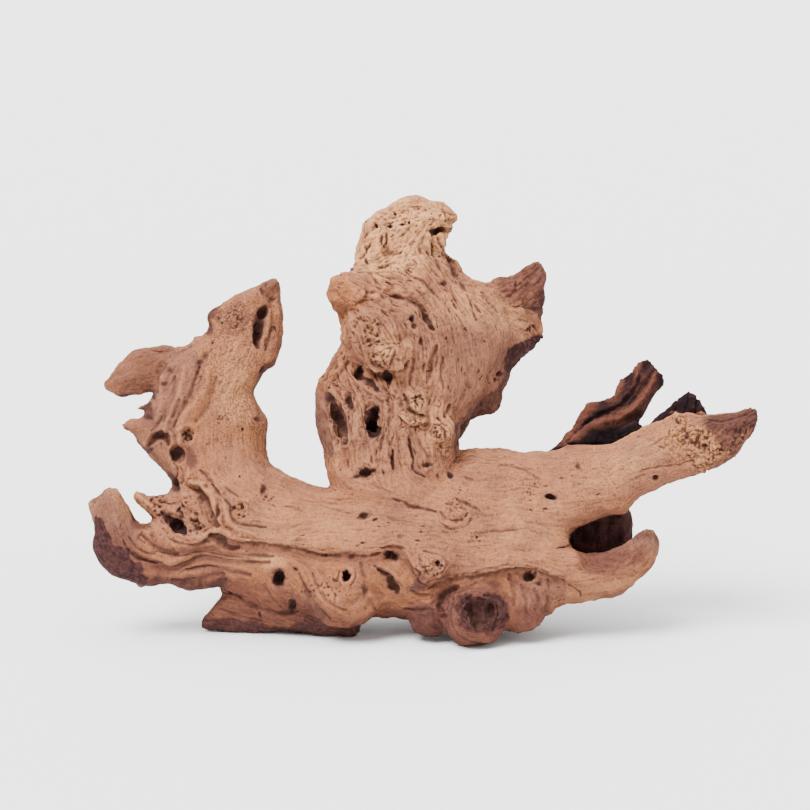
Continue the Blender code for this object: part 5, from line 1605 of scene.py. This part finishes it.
# the grooves along the rim, its ridges, and the creases round its knot
for row in (
    ([(-112, 60.3), (-98, 60), (-84, 59.2), (-74, 57.8), (-66, 55.5), (-58, 54.3)], 1.3, 1.3, 0.3),
    ([(-60, 54), (-48, 54.8), (-40, 53.6), (-33, 53.4), (-26, 55.5)], 1.4, 1.3, 0.3),
    ([(-25, 58), (-15, 58.8), (-9.5, 52.5), (-7, 47), (-4.5, 42.5)], 1.3, 1.3, 0.3),
    ([(-13, 56), (-7.5, 49), (-4, 42), (0, 38.5)], 2.2, -1.4, 0),
    ([(-5, 47), (-1.5, 44), (-4, 40), (1, 37)], 0.9, 1.2, 0.7),
    ([(0, 56.5), (7, 56), (13, 53.5), (15, 49.5), (12.5, 45.5), (4, 40.5)], 0.8, 0.9, 0.5),
    ([(-3, 54), (-3, 50), (0, 46)], 0.8, 0.9, 0.4),
    ([(3, 34.5), (9, 37), (15, 39.5), (28, 41.5), (42, 43), (54, 45.5)], 1.3, 1.3, 0.3),
    ([(2, 38), (10, 41), (22, 43), (36, 45), (50, 48)], 1, 0.6, 0.3),
    ([(-13, 24), (-4, 23), (4, 26.5), (10, 31.5), (15, 35)], 1.6, -1.3, 0),
    ([(-12, 22), (-2, 22.5), (6, 22)], 1, 1.2, 0.5),
    ([(-8, 33.5), (-2, 30), (5, 31)], 1, 0.8, 0.35),
    ([(54, 46), (64, 45.5), (73, 41.5), (82, 38), (92, 37), (106, 37)], 1.4, 1.3, 0.3),
    ([(60, 48), (68, 46), (76, 42), (84, 40.5), (94, 40)], 0.7, 0.6, 0.3),
    ([(8.5, 22), (9.5, 29), (14, 34), (20, 35.8)], 1.9, 2, 0.3),
):
    furrow(*row)
# cracks under the rim
for row in (
    ([(12, 14), (10, 18), (10.5, 24)], 1.4, 1.2, 0.4),
    ([(-27.5, 45.5), (-21.5, 42), (-17, 37), (-15.5, 31.5)], 1.7, 2.6, 0.85),
    ([(-30, 48), (-25, 44.5), (-19, 41.5)], 0.8, 1),
    ([(-40, 76.5), (-36.5, 75.6), (-31, 78)], 0.7, 0.7, 0.5),
    ([(-41.5, 46), (-40.8, 40), (-43.5, 36.5)], 0.6, 0.7, 0.5),
    ([(-50.5, 45), (-51.5, 40), (-49, 36)], 0.6, 0.7, 0.4),
):
    furrow(*row)
# fine cracks in the pale face
for row in (
    ([(-18.5, 87.8), (-12, 85.2), (-8, 82.6), (-2, 82), (7, 80)], 1, 1.1, 0.55),
    ([(20, 87.2), (26, 84.6), (30, 82), (33.2, 80)], 1.3, 1.3),
    ([(13, 84.5), (18.5, 83.3), (19.5, 81.8)], 0.9, 0.9, 0.5),
    ([(9, 73.5), (13, 70), (19, 69), (25, 71), (28, 75)], 0.8, 0.7, 0.35),
    ([(10, 80), (12, 76), (17, 73.5), (23, 75), (26, 79)], 0.8, 0.7, 0.35),
    ([(-22, 76.5), (-18, 75.5), (-14, 74), (-7, 73.6)], 0.9, 0.5, 0.35),
    ([(26, 62), (31, 66.5), (40, 68.5), (52, 68), (62, 70)], 0.7, 0.5, 0.3),
    ([(45, 108.5), (54, 107), (62, 104), (69, 100)], 0.9, 0.7, 0.3),
    ([(-84, 84), (-76, 82), (-70, 79)], 0.8, 0.5, 0.3),
    ([(-62, 84), (-52, 80), (-42, 79)], 0.8, 0.5, 0.25),
):
    furrow(*row)
# long furrows down the foot, the boss and the lobes
for row in (
    ([(-117, 31.5), (-112, 30), (-106, 26), (-100, 23), (-92, 20.3), (-84, 19),
      (-76, 20)], 1.5, 1.4, 0.45),
    ([(-124, 22), (-112, 17.5), (-98, 14)], 1, 0.7, 0.3),
    ([(-74, 44), (-70, 34), (-64, 24), (-56, 16)], 1.2, 1, 0.35),
    ([(-66, 44), (-61, 33), (-54, 25), (-46, 22)], 1, 0.8, 0.25),
    ([(-38, 50), (-36, 40), (-34, 30), (-28, 22)], 1.6, 1, 0.3),
    ([(-96, 36), (-90, 28), (-84, 22)], 1, 0.7, 0.25),
    ([(50, 42), (54, 34), (53, 24)], 1.6, 1.2, 0.15),
    ([(57, 36), (60, 30), (61, 20)], 1.2, 0.8, 0.1),
    ([(73, 39), (75, 31), (72, 22)], 1.6, 1, 0.12),
):
    furrow(*row)
# the knot's lip, and the creases in it and beside it
for row in (
    ([(19, 31), (15, 24), (17, 14), (25, 6), (36, 3.5), (46, 6)], 2, -1.5, 0),
    ([(17.5, 12), (15, 20), (17.5, 29)], 0.9, 1.4, 0.5),
    ([(12, 10), (13, 6), (18, 1)], 1, 1.2, 0.4),
    ([(36, 31), (43, 30), (45, 24), (44.5, 17), (41, 10)], 1.4, 1.8, 0.8),
    ([(18, 35.3), (12.5, 33), (9.9, 28.5), (9, 23), (10.8, 16)], 1.4, 1.6, 0.4),
    ([(27, 31), (29, 24), (28, 16), (31, 10)], 1.2, 1.4, 0.9),
    ([(20, 8), (28, 3), (38, 2.5), (46, 7)], 1.2, 1, 0.4),
):
    furrow(*row)
# dull bands on the boss, in the crook and under the rim
for row in (
    ([(-70, 38), (-69, 28), (-64, 20), (-56, 15)], 2.6, 1),
    ([(-40, 40), (-38, 32), (-34, 26)], 2.6, 0.9),
    ([(-136, 60), (-128, 63), (-122, 61), (-114, 58)], 3, 0.8),
    ([(48, 44), (60, 45.5), (72, 42), (84, 37.5), (97, 36)], 2.4, 0.8),
):
    tint(dusky_and_painted_shade, *row)
# dark stains on the lobes
for row in (
    ([(66, 32), (67.5, 27), (66, 22)], 2.2, 0.55),
    ([(69, 22), (74, 19.5)], 1.8, 0.6),
    ([(58.5, 23), (62, 19)], 1.6, 0.45),
):
    tint(bark, *row)
# the knot's red wall
tint(ruddy_and_painted_shading, [(21, 28), (24, 20), (28, 12)], 3.6, 1)
# the bark in the knot, along the foot's lower edge and under the lobes
for row in (
    ([(-8, 33.5), (-5, 40), (-1, 41), (2, 36), (1, 33.5)], 0.45, 2),
    ([(6, 14), (10, 30), (18, 36), (30, 36), (20, 30), (16, 20), (16, 10)], 0.45, 5),
    ([(-140, 8), (-134, 15.5), (-112, 15), (-96, 12), (-82, 10), (-77, 13), (-70, 17.5), (-62, 16.5),
      (-57, 11.5), (-50, 10), (-36, 12), (-34, 0), (-140, 0)], 0.85, 2.5, 1),
    ([(-12, 15), (-6, 13), (2, 8), (2, 0), (-14, 0)], 0.7, 5, 1),
    ([(-131, 37), (-124, 38.5), (-119, 42), (-117, 40), (-121, 33), (-131, 33)], 0.8, 3, 1),
    ([(-90, 16), (-76, 24), (-62, 26), (-56, 16), (-64, 12)], 0.35, 7, 3),
    (KNOT, 1, 2.5, 1.5),
    ([(6, 26), (10, 36), (16, 36), (13, 28), (11, 16), (16, 6), (12, 2), (4, 12)], 0.4, 3, 1.5),
    ([(-10, 12), (-8, 24), (2, 26), (8, 20), (10, 8), (2, 2)], 0.6, 4, 1.5),
    ([(16, 8), (22, 2), (34, -4), (50, 0), (54, 12), (50, 10), (38, 2), (24, 6)], 0.35, 4, 1.5),
):
    patch(bark, *row)
# duller wood on the lobes, the boss and the creases
for row in (
    ([(-9, 33), (-6, 41), (-1, 43), (3, 37), (2, 33)], 1, 2),
    ([(-24, 8), (-18, 20), (-6, 24), (6, 26), (12, 10), (0, 4)], 0.6, 6),
    ([(-60, 32), (-38, 34), (-32, 20), (-46, 12), (-62, 18)], 0.3, 7, 3),
    ([(52, 44), (56, 20), (66, 12), (78, 26), (80, 40)], 0.8, 8, 3),
):
    patch(dusky_and_painted_shade, *row)
# orange on the face's left end and the knot's lip
for row in (
    ([(-84, 64), (-84, 84), (-52, 86), (-40, 72), (-60, 60)], 0.4, 16, 5, 9),
    ([(10, 16), (12, 28), (16, 30), (14, 20), (17, 10)], 1, 2.5, 1),
):
    patch(tawny, *row)
# the red foot and the red underside of the lobes
for row in (
    ([(-141, 34), (-120, 44), (-96, 34), (-72, 34), (-64, 22), (-40, 14), (-36, 0), (-141, 0)], 1, 12, 4),
    ([(-30, 10), (-24, 22), (-8, 25), (4, 28), (8, 34), (22, 38), (42, 38), (54, 26), (84, 20),
      (84, 0), (-30, 0)], 1, 6, 3),
):
    patch(ruddy_and_painted_shading, *row)
# cream on the face and above the foot
for row in (
    ([(-116, 50), (-110, 55), (-92, 55), (-84, 50), (-96, 47)], 0.5, 6, 3),
    ([(44, 66), (50, 84), (80, 84), (84, 70), (70, 56), (52, 58)], 0.25, 16, 5),
    ([(-100, 64), (-88, 84), (-50, 78), (-40, 66), (-70, 60)], 0.2, 16, 5),
):
    patch(bleached_and_highlight, *row)
patch(crumb, [(-62, 46), (-50, 34), (-38, 40), (-30, 44), (-30, 34), (-40, 28), (-60, 28)], 0.35, 12, 4)

# It is cut in two across its middle, because the whole would be too fine a mesh for one piece.
left_half = within([(-300, -50), (-22, -50), (-22, 300), (-300, 300)], ALL_DEPTHS)
for half, label in ((left_half, "trunk_left_wood"), (~left_half, "trunk_right_wood")):
    trunk = part_off("trunk", half, label)
    trunk.data.materials.append(sandblasted)


# The stage: a plain pale floor that sweeps up behind, soft studio light from above the left, and a long
# lens that looks down by the root's lean.
COLUMNS = 9
ROWS = 33
SWEEP_RADIUS = 1.6
across = np.linspace(-4, 4, COLUMNS)
sweep = np.linspace(0, 1, ROWS)  # along the floor's profile, which is flat and then a quarter of a circle
bend = (sweep - 0.5) * np.pi
back = np.where(sweep < 0.5, -3 + 12 * sweep, 3 + SWEEP_RADIUS * np.sin(bend))
rise = np.where(sweep < 0.5, 0, SWEEP_RADIUS * (1 - np.cos(bend)) + 60 * np.clip(sweep - 0.97, 0, 1))
floor_mesh = bpy.data.meshes.new("floor")
grid = np.zeros((ROWS, COLUMNS, 3))
grid[:, :, 0] = across
grid[:, :, 1] = back[:, None]
grid[:, :, 2] = rise[:, None]
corner = (np.arange(ROWS - 1)[:, None] * COLUMNS + np.arange(COLUMNS - 1)).ravel()
squares = np.stack([corner, corner + 1, corner + COLUMNS + 1, corner + COLUMNS], axis=1)
floor_mesh.from_pydata(grid.reshape(-1, 3), [], squares)
for face in floor_mesh.polygons:
    face.use_smooth = True
floor = bpy.data.objects.new("floor", floor_mesh)
bpy.context.scene.collection.objects.link(floor)
paper = bpy.data.materials.new("pale paper")
paper.use_nodes = True
paper.node_tree.nodes["Principled BSDF"].inputs["Base Color"].default_value = (0.9, 0.9, 0.9, 1)
paper.node_tree.nodes["Principled BSDF"].inputs["Roughness"].default_value = 0.9
floor.data.materials.append(paper)

LENS = 200.0
SENSOR = 36.0
FRAME_WIDTH = 0.486  # what the view takes in at the root, in metres
AIM = (-11.4, 143.4, 0)  # the middle of the view on the board
lens = bpy.data.cameras.new("lens")
lens.lens = LENS
lens.sensor_width = SENSOR
lens.clip_end = 50.0
camera = bpy.data.objects.new("camera", lens)
bpy.context.scene.collection.objects.link(camera)
bpy.context.scene.camera = camera
aim = Vector(off_board([AIM])[0])
way = Vector((0, math.cos(LEAN), -math.sin(LEAN)))
camera.location = aim - way * (FRAME_WIDTH * LENS / SENSOR)
camera.rotation_euler = way.to_track_quat("-Z", "Y").to_euler()

for name, way, spread, power in (
    ("key", (0.75, 0.75, -1.6), 35, 6.6),
    ("fill", (-1.3, 1.4, -0.7), 60, 0.7),
    ("top", (-0.1, -0.3, -1.7), 70, 3.8),
):
    light = bpy.data.lights.new(name, "SUN")
    light.angle = math.radians(spread)
    light.energy = power
    lamp = bpy.data.objects.new(name, light)
    lamp.location = Vector(way) * -1
    lamp.rotation_euler = Vector(way).to_track_quat("-Z", "Y").to_euler()
    bpy.context.scene.collection.objects.link(lamp)
world = bpy.data.worlds.new("studio")
world.use_nodes = True
world.node_tree.nodes["Background"].inputs["Color"].default_value = (1, 1, 1, 1)
world.node_tree.nodes["Background"].inputs["Strength"].default_value = 0.7
bpy.context.scene.world = world
